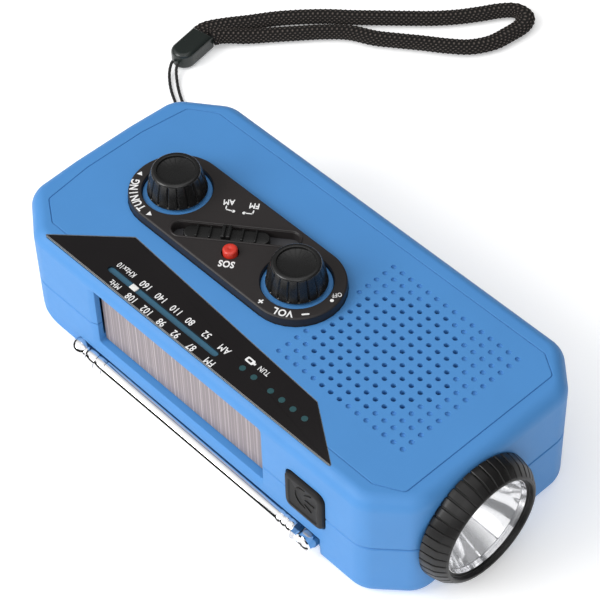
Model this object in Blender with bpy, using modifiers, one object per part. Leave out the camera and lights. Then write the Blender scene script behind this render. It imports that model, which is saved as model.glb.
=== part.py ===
"""Hand-crank emergency radio with a torch, a solar cell, a telescopic antenna and a wrist strap.

The radio lies on its back. +Z points out of the control panel, +X towards the torch, and the
solar cell and the antenna are on the -Y side. The row's origin is under the middle of the
radio, on the surface that it lies on. Lengths below are in millimetres, in a frame centred on
the case, and the empty radio_frame carries everything from there to the row's own frame.
"""

import math

import bmesh
import bpy
from mathutils import Matrix, Vector

MM = 0.001
GAP = 0.3

# Case
HALF_LENGTH = 61.0
HALF_WIDTH = 29.3
THICKNESS = 31.0
SEAM_Z = 16.0
WALL = 2.0
FACE = 2.2
RIM_RADIUS = 3.2
CORNER_RADIUS = 7.0
CORNER_Y = 8.4
TORCH_CORNER_X = 9.2
FAR_CORNER_X = 12.0
FAR_BOW = 0.6
FAR_BOW_HALF = 8.0

# Controls
KNOB_Y = 0.5
TUNING_X = -35.4
VOLUME_X = 2.5
PANEL_RADIUS = 10.8
PANEL_RISE = 2.3
PANEL_SINK = 1.0
KNOB_WELL_RADIUS = 7.8
COLLAR_RADIUS = 7.4
KNOB_BASE_RADIUS = 6.7
KNOB_TOP_RADIUS = 5.0
KNOB_HEIGHT = 6.2
SPINDLE_RADIUS = 3.0
SLOT_ANGLE = math.radians(37.5)
SLOT_LENGTH = 27.8
SLOT_WIDTH = 4.2
SLIDER_LENGTH = 18.4
SLIDER_OFFSET = -2.0
SLIDER_TRAVEL = 2.7
STEM_WIDTH = 2.0
SOS_X = -13.2
SOS_Y = -4.1
SOS_RADIUS = 1.7
SOS_RISE = 1.3
BUTTON_TRAVEL = 0.8

# Tuning dial
DIAL_OUTLINE = ((-46.5, -27.5), (-32.3, -14.3), (27.1, -17.6), (41.4, -27.1))
DIAL_SINK = 1.2
DIAL_PLATE = 0.9
STRIP_START = (-29.1, -23.9)
STRIP_END = (3.8, -23.9)
STRIP_WIDTH = 1.6
POINTER_ALONG = 7.4
POINTER_LENGTH = 1.9

# Speaker
HOLE_PITCH = 2.55
HOLE_RADIUS = 0.6
SPEAKER_X = 27.8
SPEAKER_Y = 1.3
GRILLE_REACH = 6.2
GRILLE_COLUMNS = (-6, 8)
GRILLE_ROWS = (-6, 7)
SPEAKER_RADIUS = 17.8
MAGNET_RADIUS = 8.5

# Solar window
WINDOW_X = (-31.4, 23.4)
WINDOW_Z = (8.5, 27.7)
WINDOW_BEVEL = 1.8
BEVEL_DEPTH = 0.7
CELL_THICKNESS = 1.0

# Torch
TORCH_Y = -7.3
TORCH_Z = 15.8
RING_RADIUS = 15.0
RING_FRONT_RADIUS = 13.4
RING_OPENING = 11.8
RING_REACH = 5.9
NECK_RADIUS = 12.0
NECK_LENGTH = 4.2
REFLECTOR_RADIUS = 11.3
REFLECTOR_DEPTH = 13.5
LENS_THICKNESS = 1.0
TORCH_BUTTON_X = 36.1
TORCH_BUTTON_Z = 17.3
TORCH_BUTTON_SIZE = 11.0
TORCH_BUTTON_CORNER = 1.8
TORCH_BUTTON_RISE = 0.9

# Antenna
REBATE_Z = 7.4
REBATE_Y = 2.3 - HALF_WIDTH
REBATE_END_X = 40.0
ANTENNA_Y = -HALF_WIDTH - 0.5
ANTENNA_Z = 4.9
ANTENNA_PIVOT_X = 37.0
SECTION_RADII = (2.3, 1.9, 1.5, 1.1, 0.7)
SECTION_WALL = 0.25
SECTION_END_X = -26.6
SECTION_REACH = (0.0, 2.7, 5.4, 5.7, 6.7)  # how far each section stands out of the first
COLLARED_SECTIONS = (2, 3)
COLLAR_RADIUS = 2.2
COLLAR_LENGTH = 2.6
TIP_RADIUS = 2.6
FORK_RADIUS = 2.3
TONGUE_THICKNESS = 1.6
TUBE_SETBACK = 3.3
PIN_RADIUS = 0.7

# Crank
CRANK_X = -16.0
CRANK_Y = 0.5
POCKET_RADIUS = 24.8
POCKET_DEPTH = 14.2
POCKET_WALL = 1.4
ROTOR_TOP = 9.0
HINGE_OFFSET = 19.0
HINGE_Z = 2.0
KNUCKLE_RADIUS = 1.7
ARM_WIDTH = 8.0
ARM_THICKNESS = 2.8
ARM_CLEARANCE = 0.6
SWING_CLEARANCE = 1.7
CRANK_KNOB_OFFSET = 11.0
CRANK_KNOB_RADIUS = 6.4
CRANK_KNOB_HEIGHT = 6.2
AXLE_RADIUS = 2.5

# Gear train
GEAR_MODULE = 0.8
WHEEL_TEETH = 40
PINION_TEETH = 10
GEAR_WIDTH = 2.0
GENERATOR_Y = 17.5
GENERATOR_RADIUS = 9.0

# Inside
BOARD_Z = 21.0
BOARD_THICKNESS = 1.2
BOARD_X = (-57.5, 8.6)
BOARD_Y = (-15.0, 8.0)
BATTERY_X = 19.5
BATTERY_RADIUS = 7.0
BATTERY_Y = (-22.5, 26.0)
FERRITE_X = 33.0
FERRITE_Z = 8.0
FERRITE_RADIUS = 4.0

# Ports, on the end away from the torch
PORT_HALF_WIDTH = 11.6
PORT_Z = (10.0, 22.0)
COVER_MARGIN = 1.4
COVER_THICKNESS = 0.9
COVER_HINGE_RISE = 0.45

# Fasteners
SCREW_X = (-52.0, 52.0)
SCREW_Y = 19.5
BOSS_RADIUS = 3.6
SCREW_HEAD_RADIUS = 2.6
SCREW_RADIUS = 1.2
SCREW_END_Z = 24.0
COUNTERBORE_Z = 4.3

# Wrist strap
NOTCH_X = 5.6 - HALF_LENGTH
NOTCH_Y = HALF_WIDTH - 3.1
NOTCH_RADIUS = 4.2
NOTCH_Z = (5.0, 11.0)
BAR_RADIUS = 0.9
STRING_RADIUS = 0.4
STRAP_RADIUS = 1.4
BEAD_X = NOTCH_X - 38.8
BEAD_Y = NOTCH_Y + 27.4
BEAD_TURN = math.radians(10)
BEAD_WIDTH = 6.4
BEAD_LENGTH = 11.0
BEAD_HEIGHT = 4.6
STRING_A = (
    (-57.2, 28.0, 7.6), (-60.5, 29.6, 6.6), (-66.0, 31.8, 3.4), (-72.0, 34.2, 1.3),
    (-78.0, 36.8, 0.5), (-84.0, 39.6, 0.45), (-88.4, 42.0, 0.45), (-91.9, 44.6, 0.7),
    (-93.7, 46.6, 1.4), (-94.3, 47.9, 2.0),
)
STRING_B = (
    (-56.0, 28.6, 8.8), (-60.0, 31.0, 7.9), (-65.6, 33.4, 4.4), (-71.6, 35.8, 1.9),
    (-77.6, 38.4, 0.7), (-83.2, 41.1, 0.45), (-87.2, 43.4, 0.45), (-90.3, 45.6, 0.8),
    (-91.9, 47.0, 1.5), (-92.6, 48.0, 2.0),
)
STRAP_ROUTE = (
    (-97.0, 59.3, 2.4), (-96.9, 62.2, 2.3), (-94.8, 66.6, 2.0), (-91.8, 71.5, 1.7),
    (-88.2, 77.2, 1.6), (-84.0, 82.4, 1.6), (-79.5, 87.2, 1.6), (-74.6, 91.6, 1.6),
    (-69.6, 96.4, 1.6), (-64.6, 101.2, 1.6), (-60.0, 105.8, 1.6), (-56.0, 110.6, 1.6),
    (-52.8, 115.4, 1.6), (-50.0, 120.0, 1.6), (-47.2, 122.8, 1.6), (-43.8, 122.6, 1.6),
    (-42.2, 119.4, 1.6), (-42.4, 114.6, 1.6), (-43.2, 109.6, 1.6), (-46.0, 104.6, 1.6),
    (-50.6, 100.6, 1.6), (-55.4, 97.2, 1.6), (-60.2, 93.6, 1.6), (-65.2, 90.0, 1.6),
    (-71.2, 86.9, 1.6), (-76.2, 82.2, 1.6), (-80.4, 77.2, 1.6), (-84.4, 72.4, 1.6),
    (-88.2, 67.6, 1.7), (-91.3, 64.2, 2.0), (-92.8, 61.9, 2.3), (-93.3, 60.2, 2.4),
)

ROUTE_NOTCH_X = -55.4
ROUTE_NOTCH_Y = 26.2

FRONT_FACE_Z = THICKNESS
INNER_TOP_Z = THICKNESS - FACE
PANEL_TOP_Z = THICKNESS + PANEL_RISE
RING_FRONT_X = HALF_LENGTH + RING_REACH
ANTENNA_LOW_Y = ANTENNA_Y - TIP_RADIUS
SHIFT_X = -(RING_FRONT_X - HALF_LENGTH) / 2
SHIFT_Y = -(HALF_WIDTH + ANTENNA_LOW_Y) / 2

BLUE = (0.075, 0.27, 0.60)
DARK = (0.030, 0.027, 0.027)
BLACK = (0.012, 0.012, 0.012)
RED = (0.55, 0.03, 0.02)
STEEL = (0.62, 0.62, 0.64)
WHITE = (0.8, 0.8, 0.8)
GREEN = (0.03, 0.16, 0.06)
GREY = (0.25, 0.25, 0.26)
BRASS = (0.65, 0.45, 0.15)
GLASS = (0.8, 0.85, 0.9)

parts = bpy.data.collections.new("emergency_radio")
cutters = bpy.data.collections.new("cutters")
frame = bpy.data.objects.new("radio_frame", None)


def start_scene():
    """Empties the scene and links the collections and the frame that carries the radio."""
    for old in list(bpy.data.objects):
        if old is not frame:
            bpy.data.objects.remove(old)
    for collection in (parts, cutters):
        bpy.context.scene.collection.children.link(collection)
    parts.objects.link(frame)
    frame.location = (SHIFT_X * MM, SHIFT_Y * MM, 0)


def from_notch(route):
    """A cord's route moved along with the notch in the case's corner."""
    return tuple((x + NOTCH_X - ROUTE_NOTCH_X, y + NOTCH_Y - ROUTE_NOTCH_Y, z) for x, y, z in route)


def material(name, colour, roughness, metallic=0.0):
    """A Principled BSDF of one colour, made once for each name."""
    made = bpy.data.materials.get(name)
    if made:
        return made
    made = bpy.data.materials.new(name)
    made.use_nodes = True
    shader = made.node_tree.nodes["Principled BSDF"]
    shader.inputs["Base Color"].default_value = (*colour, 1)
    shader.inputs["Roughness"].default_value = roughness
    shader.inputs["Metallic"].default_value = metallic
    return made


def finish(name, mesh, look, origin=(0, 0, 0), turn=None):
    """Makes a part, or a cutter where look is None, from a mesh that is drawn about its origin."""
    piece = bpy.data.objects.new(name, mesh)
    piece.location = Vector(origin) * MM
    if turn:
        piece.rotation_euler = turn
    piece.parent = frame
    if look:
        mesh.materials.append(material(*look))
        parts.objects.link(piece)
    else:
        piece.hide_render = True
        piece.display_type = "WIRE"
        cutters.objects.link(piece)
    return piece


def mesh_from(name, build, origin=(0, 0, 0)):
    """A mesh from a bmesh that build fills in case coordinates, moved so that origin is zero."""
    shape = bmesh.new()
    build(shape)
    shape.transform(Matrix.Translation(-Vector(origin)))
    bmesh.ops.scale(shape, vec=(MM, MM, MM), verts=shape.verts)
    mesh = bpy.data.meshes.new(name)
    shape.to_mesh(mesh)
    shape.free()
    return mesh


def add_box(shape, low, high):
    """A box between two corners, added to a bmesh."""
    low, high = Vector(low), Vector(high)
    size = Matrix.Diagonal((*(high - low), 1))
    bmesh.ops.create_cube(shape, size=1, matrix=Matrix.Translation((low + high) / 2) @ size)


def add_rod(shape, start, end, radius, sides=32, end_radius=None):
    """A round bar or a cone between two points, added to a bmesh."""
    start, end = Vector(start), Vector(end)
    along = end - start
    place = Matrix.Translation((start + end) / 2) @ along.to_track_quat("Z", "Y").to_matrix().to_4x4()
    bmesh.ops.create_cone(
        shape, cap_ends=True, segments=sides, radius1=radius,
        radius2=radius if end_radius is None else end_radius, depth=along.length, matrix=place,
    )


def box(name, low, high, look, origin=(0, 0, 0)):
    mesh = mesh_from(name, lambda shape: add_box(shape, low, high), origin)
    return finish(name, mesh, look, origin)


def rod(name, start, end, radius, look, sides=32, origin=(0, 0, 0), end_radius=None):
    build = lambda shape: add_rod(shape, start, end, radius, sides, end_radius)
    piece = finish(name, mesh_from(name, build, origin), look, origin)
    piece.data.shade_smooth()
    piece.data.set_sharp_from_angle(angle=math.radians(40))
    return piece


def turned(name, profile, origin, look, steps=40, turn=None, closed=False):
    """A turned shape about its local Z axis. The profile runs down the outer side."""
    mesh = bpy.data.meshes.new(name)
    points = [(radius * MM, 0, height * MM) for radius, height in profile]
    edges = [(i, i + 1) for i in range(len(points) - 1)]
    if closed:
        edges.append((len(points) - 1, 0))
    mesh.from_pydata(points, edges, [])
    piece = finish(name, mesh, look, origin, turn)
    screw = piece.modifiers.new("turn", "SCREW")
    screw.steps = steps
    screw.render_steps = steps
    screw.use_merge_vertices = True
    screw.merge_threshold = 0.00001
    screw.use_smooth_shade = False
    return piece


def plate(name, outline, low, high, look, origin=(0, 0, 0), holes=()):
    """A flat plate from a 2D curve, welded into a plain mesh."""
    curve = bpy.data.curves.new(name, "CURVE")
    curve.dimensions = "2D"
    curve.fill_mode = "BOTH"
    curve.extrude = (high - low) / 2 * MM
    for loop in (outline, *holes):
        spline = curve.splines.new("POLY")
        spline.points.add(len(loop) - 1)
        spline.use_cyclic_u = True
        for point, (x, y) in zip(spline.points, loop):
            point.co = (x * MM, y * MM, 0, 1)
    holder = bpy.data.objects.new(name + "_curve", curve)
    cutters.objects.link(holder)
    graph = bpy.context.evaluated_depsgraph_get()
    mesh = bpy.data.meshes.new_from_object(holder.evaluated_get(graph))
    bpy.data.objects.remove(holder)
    shape = bmesh.new()
    shape.from_mesh(mesh)
    bmesh.ops.remove_doubles(shape, verts=shape.verts, dist=0.000001)
    bmesh.ops.translate(shape, vec=Vector((0, 0, (low + high) / 2)) * MM - Vector(origin) * MM,
                        verts=shape.verts)
    bmesh.ops.recalc_face_normals(shape, faces=shape.faces)
    shape.to_mesh(mesh)
    shape.free()
    mesh.name = name
    return finish(name, mesh, look, origin)


def boolean(piece, other, operation="DIFFERENCE"):
    """Cuts one object with another, or joins them."""
    step = piece.modifiers.new(other.name, "BOOLEAN")
    step.object = other
    step.operation = operation
    step.solver = "EXACT"


def bevel(piece, width, segments=2, angle=40):
    step = piece.modifiers.new("edges", "BEVEL")
    step.width = width * MM
    step.segments = segments
    step.limit_method = "ANGLE"
    step.angle_limit = math.radians(angle)


def tube(name, route, radius, look, points=60):
    """A cord on a smooth curve through its route's own points."""
    smooth = spline_points(route, points)
    curve = bpy.data.curves.new(name, "CURVE")
    curve.dimensions = "3D"
    curve.bevel_depth = radius * MM
    curve.bevel_resolution = 2
    curve.use_fill_caps = True
    spline = curve.splines.new("POLY")
    spline.points.add(len(smooth) - 1)
    for point, place in zip(spline.points, smooth):
        point.co = (*(place * MM), 1)
    piece = bpy.data.objects.new(name, curve)
    piece.parent = frame
    curve.materials.append(material(*look))
    parts.objects.link(piece)
    return piece


def spline_points(route, count):
    """Points at even steps of a Catmull-Rom curve through the route."""
    knots = [Vector(p) for p in route]
    ends = [knots[0] * 2 - knots[1], *knots, knots[-1] * 2 - knots[-2]]
    points = []
    for k in range(count):
        along = k / (count - 1) * (len(knots) - 1)
        i = min(int(along), len(knots) - 2)
        t = along - i
        a, b, c, d = ends[i:i + 4]
        points.append(((b * 2) + (c - a) * t + (a * 2 - b * 5 + c * 4 - d) * t ** 2
                       + (b * 3 - a - c * 3 + d) * t ** 3) / 2)
    return points


def moved_edges(corners, inset):
    """A convex outline, drawn anticlockwise, with each edge moved inwards."""
    lines = []
    for i, corner in enumerate(corners):
        start, end = Vector(corner), Vector(corners[(i + 1) % len(corners)])
        along = (end - start).normalized()
        inward = Vector((-along.y, along.x))
        lines.append((start + inward * inset, along))
    result = []
    for i, (point, along) in enumerate(lines):
        before, before_along = lines[i - 1]
        cross = before_along.x * along.y - before_along.y * along.x
        offset = point - before
        t = (offset.x * along.y - offset.y * along.x) / cross
        result.append(before + before_along * t)
    return result


def rounded(corners, radius, steps=3):
    """An outline with its corners rounded; bends of a few degrees stay as they are."""
    result = []
    for i, corner in enumerate(corners):
        corner = Vector(corner)
        back = (Vector(corners[i - 1]) - corner).normalized()
        ahead = (Vector(corners[(i + 1) % len(corners)]) - corner).normalized()
        half = math.acos(max(-1, min(1, back.dot(ahead)))) / 2
        if math.pi / 2 - half < math.radians(4) or radius <= 0:
            result.append(tuple(corner))
            continue
        centre = corner + (back + ahead).normalized() * radius / math.sin(half)
        first = corner + back * radius / math.tan(half) - centre
        last = corner + ahead * radius / math.tan(half) - centre
        start = math.atan2(first.y, first.x)
        sweep = (math.atan2(last.y, last.x) - start + math.pi) % (2 * math.pi) - math.pi
        for k in range(steps + 1):
            angle = start + sweep * k / steps
            result.append((centre.x + radius * math.cos(angle), centre.y + radius * math.sin(angle)))
    return result


def case_corners():
    """The case's plan, anticlockwise from the torch end."""
    side = HALF_WIDTH - CORNER_Y
    torch = HALF_LENGTH - TORCH_CORNER_X
    far = -(HALF_LENGTH - FAR_CORNER_X)
    end = -(HALF_LENGTH - FAR_BOW)
    return [
        (HALF_LENGTH, -side), (HALF_LENGTH, side), (torch, HALF_WIDTH), (far, HALF_WIDTH),
        (end, side), (-HALF_LENGTH, FAR_BOW_HALF), (-HALF_LENGTH, -FAR_BOW_HALF), (end, -side),
        (far, -HALF_WIDTH), (torch, -HALF_WIDTH),
    ]


def case_outline(inset=0.0):
    return rounded(moved_edges(case_corners(), inset), CORNER_RADIUS - inset)


def rectangle(x, y, corner=0.0):
    return rounded([(x[0], y[0]), (x[1], y[0]), (x[1], y[1]), (x[0], y[1])], corner)


def stadium(centre, length, width, angle=0.0, steps=10):
    """A slot outline with round ends; length is its whole length."""
    reach, radius = (length - width) / 2, width / 2
    points = []
    for side, base in ((1, -math.pi / 2), (-1, math.pi / 2)):
        for k in range(steps + 1):
            a = base + math.pi * k / steps
            points.append((side * reach + radius * math.cos(a), radius * math.sin(a)))
    c, s = math.cos(angle), math.sin(angle)
    return [(centre[0] + x * c - y * s, centre[1] + x * s + y * c) for x, y in points]


def circle(centre, radius, steps=40):
    return [(centre[0] + radius * math.cos(math.tau * k / steps),
             centre[1] + radius * math.sin(math.tau * k / steps)) for k in range(steps)]


def slot_point(along):
    """A point on the band slider's centre line, measured from the slot's middle."""
    x, y = slot_centre()
    return x + along * math.cos(SLOT_ANGLE), y + along * math.sin(SLOT_ANGLE)


def slot_centre():
    return (TUNING_X + VOLUME_X) / 2, KNOB_Y - 0.1


def strip_point(along):
    """A point on the pointer's track, measured from its start."""
    start, end = Vector(STRIP_START), Vector(STRIP_END)
    return start + (end - start).normalized() * along


def strip_angle():
    return math.atan2(STRIP_END[1] - STRIP_START[1], STRIP_END[0] - STRIP_START[0])


def strip_length():
    return (Vector(STRIP_END) - Vector(STRIP_START)).length


BLUE_RUBBER = ("case_blue", BLUE, 0.5)
DARK_PLASTIC = ("panel_charcoal", DARK, 0.45)
KNOB_PLASTIC = ("knob_black", BLACK, 0.3)
METAL = ("chrome", STEEL, 0.12, 1.0)
PLAIN_STEEL = ("steel", STEEL, 0.35, 1.0)


def case_blank(name, low, high):
    """One half of the outside of the case, with the rims rounded before the split."""
    blank = plate(name, case_outline(), 0, THICKNESS, BLUE_RUBBER)
    bevel(blank, RIM_RADIUS, segments=4, angle=60)
    reach = HALF_LENGTH * 2
    keep = box(name + "_half", (-reach, -reach, low), (reach, reach, high), None)
    boolean(blank, keep, "INTERSECT")
    return blank


def screw_places():
    return [(x, y) for x in SCREW_X for y in (-SCREW_Y, SCREW_Y)]


def cavity(name, low, high):
    """The space inside a case half; screw bosses stay standing in it."""
    hollow = plate(name, case_outline(WALL), low, high, None)
    for i, (x, y) in enumerate(screw_places()):
        boss = rod(f"{name}_boss_{i}", (x, y, low - 1), (x, y, high + 1), BOSS_RADIUS, None, 20)
        boolean(hollow, boss)
    return hollow


def side_cutters():
    """The openings that both halves of the case share across their seam."""
    made = []
    y_out, y_in = -(HALF_WIDTH + 1), -(HALF_WIDTH - WALL - 1)
    step = WINDOW_BEVEL
    made.append(box("window_cut", (WINDOW_X[0] + step, y_out, WINDOW_Z[0] + step),
                    (WINDOW_X[1] - step / 2, y_in, WINDOW_Z[1] - step / 2), None))
    made.append(window_bevel_cutter())
    half = TORCH_BUTTON_SIZE / 2 + GAP
    made.append(box("button_cut", (TORCH_BUTTON_X - half, y_out, TORCH_BUTTON_Z - half),
                    (TORCH_BUTTON_X + half, y_in, TORCH_BUTTON_Z + half), None))
    made.append(rod("torch_cut", (HALF_LENGTH - WALL - NECK_LENGTH, TORCH_Y, TORCH_Z),
                    (HALF_LENGTH + 2, TORCH_Y, TORCH_Z), NECK_RADIUS + GAP, None, 48))
    margin = COVER_MARGIN
    x_floor = -(HALF_LENGTH - COVER_THICKNESS - GAP)
    made.append(box("cover_cut", (-(HALF_LENGTH + 2), -PORT_HALF_WIDTH - margin, PORT_Z[0] - margin),
                    (x_floor, PORT_HALF_WIDTH + margin, PORT_Z[1] + margin), None))
    made.append(box("port_cut", (-(HALF_LENGTH + 2), -PORT_HALF_WIDTH, PORT_Z[0]),
                    (-(HALF_LENGTH - WALL - 1), PORT_HALF_WIDTH, PORT_Z[1]), None))
    return made


def window_bevel_cutter():
    """The sloping rim of the solar window, wide outside and narrow inside."""
    step = WINDOW_BEVEL
    y_face = -HALF_WIDTH
    outer = ((WINDOW_X[0], WINDOW_Z[0]), (WINDOW_X[1], WINDOW_Z[1]))
    inner = ((WINDOW_X[0] + step, WINDOW_Z[0] + step), (WINDOW_X[1] - step / 2, WINDOW_Z[1] - step / 2))

    def build(shape):
        add_box(shape, (0, y_face - BEVEL_DEPTH, 0), (1, y_face + BEVEL_DEPTH, 1))
        for vert in shape.verts:
            low, high = inner if vert.co.y > y_face else tuple(
                (2 * o[0] - i[0], 2 * o[1] - i[1]) for o, i in zip(outer, inner))
            vert.co.x = high[0] if vert.co.x > 0.5 else low[0]
            vert.co.z = high[1] if vert.co.z > 0.5 else low[1]

    return finish("window_bevel", mesh_from("window_bevel", build), None)


def front_case(shared):
    case = case_blank("front_case", SEAM_Z + GAP / 2, THICKNESS + 1)
    boolean(case, cavity("front_cavity", SEAM_Z - 1, INNER_TOP_Z))
    boolean(case, plate("dial_pocket", moved_edges(DIAL_OUTLINE[::-1], -GAP),
                        THICKNESS - DIAL_SINK, THICKNESS + 1, None))
    boolean(case, plate("panel_pocket", stadium(slot_centre(), panel_length() + 2 * GAP,
                                                2 * PANEL_RADIUS + 2 * GAP),
                        THICKNESS - PANEL_SINK, THICKNESS + 1, None))
    for name, x in (("tuning", TUNING_X), ("volume", VOLUME_X)):
        collar = rod(name + "_collar", (x, KNOB_Y, INNER_TOP_Z + 0.5), (x, KNOB_Y, PANEL_TOP_Z - 2 * GAP),
                     COLLAR_RADIUS, None, 40)
        boolean(case, collar, "UNION")
        bore = rod(name + "_bore", (x, KNOB_Y, INNER_TOP_Z - 2), (x, KNOB_Y, PANEL_TOP_Z + 1),
                   SPINDLE_RADIUS + GAP, None, 32)
        boolean(case, bore)
    middle = strip_point(strip_length() / 2)
    boolean(case, plate("pointer_track", stadium(middle, strip_length() + STRIP_WIDTH, STRIP_WIDTH + 2 * GAP,
                                                 strip_angle(), 4), INNER_TOP_Z - 1, THICKNESS, None))
    stem = slot_point(SLIDER_OFFSET + SLIDER_TRAVEL / 2)
    boolean(case, plate("stem_track", stadium(stem, SLIDER_LENGTH / 2 + SLIDER_TRAVEL + 1,
                                              STEM_WIDTH + 2 * GAP, SLOT_ANGLE, 4),
                        INNER_TOP_Z - 1, THICKNESS, None))
    boolean(case, rod("sos_bore", (SOS_X, SOS_Y, INNER_TOP_Z - 1), (SOS_X, SOS_Y, THICKNESS),
                      SOS_RADIUS + GAP, None, 24))
    boolean(case, grille_cutter())
    boolean(case, pilot_cutter())
    for cutter in shared:
        boolean(case, cutter)
    return case


def panel_length():
    return VOLUME_X - TUNING_X + 2 * PANEL_RADIUS


def grille_places():
    """The speaker's open holes: those of the square pattern that lie in a circle."""
    columns = range(GRILLE_COLUMNS[0], GRILLE_COLUMNS[1] + 1)
    rows = range(GRILLE_ROWS[0], GRILLE_ROWS[1] + 1)
    return [(SPEAKER_X + i * HOLE_PITCH, SPEAKER_Y + j * HOLE_PITCH) for i in columns for j in rows
            if math.hypot(i, j) <= GRILLE_REACH]


def grille_cutter():
    def build(shape):
        for x, y in grille_places():
            add_rod(shape, (x, y, INNER_TOP_Z - 1), (x, y, THICKNESS + 1), HOLE_RADIUS, 6)

    return finish("grille_cut", mesh_from("grille_cut", build), None)


def pilot_cutter():
    def build(shape):
        for x, y in screw_places():
            add_rod(shape, (x, y, SEAM_Z - 2), (x, y, SCREW_END_Z + GAP), SCREW_RADIUS + GAP, 12)

    return finish("pilot_cut", mesh_from("pilot_cut", build), None)


def rear_case(shared):
    case = case_blank("rear_case", -1, SEAM_Z - GAP / 2)
    hollow = cavity("rear_cavity", WALL, SEAM_Z + 1)
    boolean(hollow, box("rebate_wall", (-HALF_LENGTH * 2, -HALF_WIDTH * 2, 0),
                        (REBATE_END_X + WALL, REBATE_Y + WALL, REBATE_Z + WALL), None))
    boolean(hollow, rod("pocket_wall", (CRANK_X, CRANK_Y, 0), (CRANK_X, CRANK_Y, POCKET_DEPTH + POCKET_WALL),
                        POCKET_RADIUS + POCKET_WALL, None, 64))
    boolean(hollow, rod("notch_wall", (NOTCH_X, NOTCH_Y, 0), (NOTCH_X, NOTCH_Y, NOTCH_Z[1] + WALL),
                        NOTCH_RADIUS + WALL, None, 24))
    boolean(case, hollow)
    boolean(case, rod("crank_pocket", (CRANK_X, CRANK_Y, -1), (CRANK_X, CRANK_Y, POCKET_DEPTH),
                      POCKET_RADIUS, None, 64))
    boolean(case, rod("axle_bore", (CRANK_X, CRANK_Y, POCKET_DEPTH - 1), (CRANK_X, CRANK_Y, SEAM_Z + 1),
                      AXLE_RADIUS + GAP, None, 32))
    boolean(case, box("antenna_rebate", (-HALF_LENGTH - 5, -HALF_WIDTH - 5, -1),
                      (REBATE_END_X, REBATE_Y, REBATE_Z), None))
    boolean(case, rod("antenna_bore", (ANTENNA_PIVOT_X, REBATE_Y - 1, ANTENNA_Z),
                      (ANTENNA_PIVOT_X, REBATE_Y + WALL + 1, ANTENNA_Z), 1.5 + GAP, None, 20))
    boolean(case, rod("lanyard_notch", (NOTCH_X, NOTCH_Y, NOTCH_Z[0]), (NOTCH_X, NOTCH_Y, NOTCH_Z[1]),
                      NOTCH_RADIUS, None, 24))
    boolean(case, screw_cutter())
    for cutter in shared:
        boolean(case, cutter)
    return case


def screw_cutter():
    """Stepped holes for the case screws, open at the back."""
    def build(shape):
        for x, y in screw_places():
            add_rod(shape, (x, y, -1), (x, y, COUNTERBORE_Z), SCREW_HEAD_RADIUS + GAP, 16)

    mesh = mesh_from("screw_cut", build)
    heads = finish("screw_cut", mesh, None)

    def build_shanks(shape):
        for x, y in screw_places():
            add_rod(shape, (x, y, 0), (x, y, SEAM_Z + 1), SCREW_RADIUS + GAP, 12)

    boolean(heads, finish("shank_cut", mesh_from("shank_cut", build_shanks), None), "UNION")
    return heads


def case_screws():
    for i, (x, y) in enumerate(screw_places(), 1):
        head_z = COUNTERBORE_Z - GAP
        profile = [(0, SCREW_END_Z), (SCREW_RADIUS * 0.5, SCREW_END_Z), (SCREW_RADIUS, SCREW_END_Z - 2),
                   (SCREW_RADIUS, head_z), (SCREW_HEAD_RADIUS, head_z), (SCREW_HEAD_RADIUS, head_z - 1),
                   (SCREW_HEAD_RADIUS * 0.7, head_z - 1.8), (0, head_z - 2)]
        turned(f"case_screw_{i}", profile, (x, y, 0), PLAIN_STEEL, steps=14)


def control_panel():
    """The raised panel with its two knob wells, the slider's slot and the SOS button's hole."""
    low = THICKNESS - PANEL_SINK + GAP
    centre = slot_centre()
    holes = [circle((x, KNOB_Y), KNOB_WELL_RADIUS) for x in (TUNING_X, VOLUME_X)]
    panel = plate("control_panel", stadium(centre, panel_length(), 2 * PANEL_RADIUS, steps=16),
                  low, PANEL_TOP_Z, DARK_PLASTIC)
    bevel(panel, 0.7, 2, 60)
    for name, loop in zip(("tuning_well", "volume_well"), holes):
        boolean(panel, plate(name, loop, low - 1, PANEL_TOP_Z + 1, None))
    boolean(panel, plate("slider_slot", stadium(centre, SLOT_LENGTH, SLOT_WIDTH, SLOT_ANGLE, 6),
                         low - 1, PANEL_TOP_Z + 1, None))
    boolean(panel, rod("sos_hole", (SOS_X, SOS_Y, low - 1), (SOS_X, SOS_Y, PANEL_TOP_Z + 1),
                       SOS_RADIUS + GAP, None, 24))


def knob(name, x):
    """A tapered knob on its spindle; its top has a shallow round recess."""
    base = PANEL_TOP_Z - GAP
    top = base + KNOB_HEIGHT
    profile = [(0, top - 0.35), (KNOB_TOP_RADIUS - 0.9, top - 0.35), (KNOB_TOP_RADIUS - 0.8, top),
               (KNOB_TOP_RADIUS - 0.2, top), (KNOB_TOP_RADIUS, top - 0.3), (KNOB_BASE_RADIUS, base + 0.4),
               (KNOB_BASE_RADIUS, base), (SPINDLE_RADIUS, base), (SPINDLE_RADIUS, INNER_TOP_Z - 0.4),
               (0, INNER_TOP_Z - 0.4)]
    turned(name, [(r, z - base) for r, z in profile], (x, KNOB_Y, base), KNOB_PLASTIC, steps=40)


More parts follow.
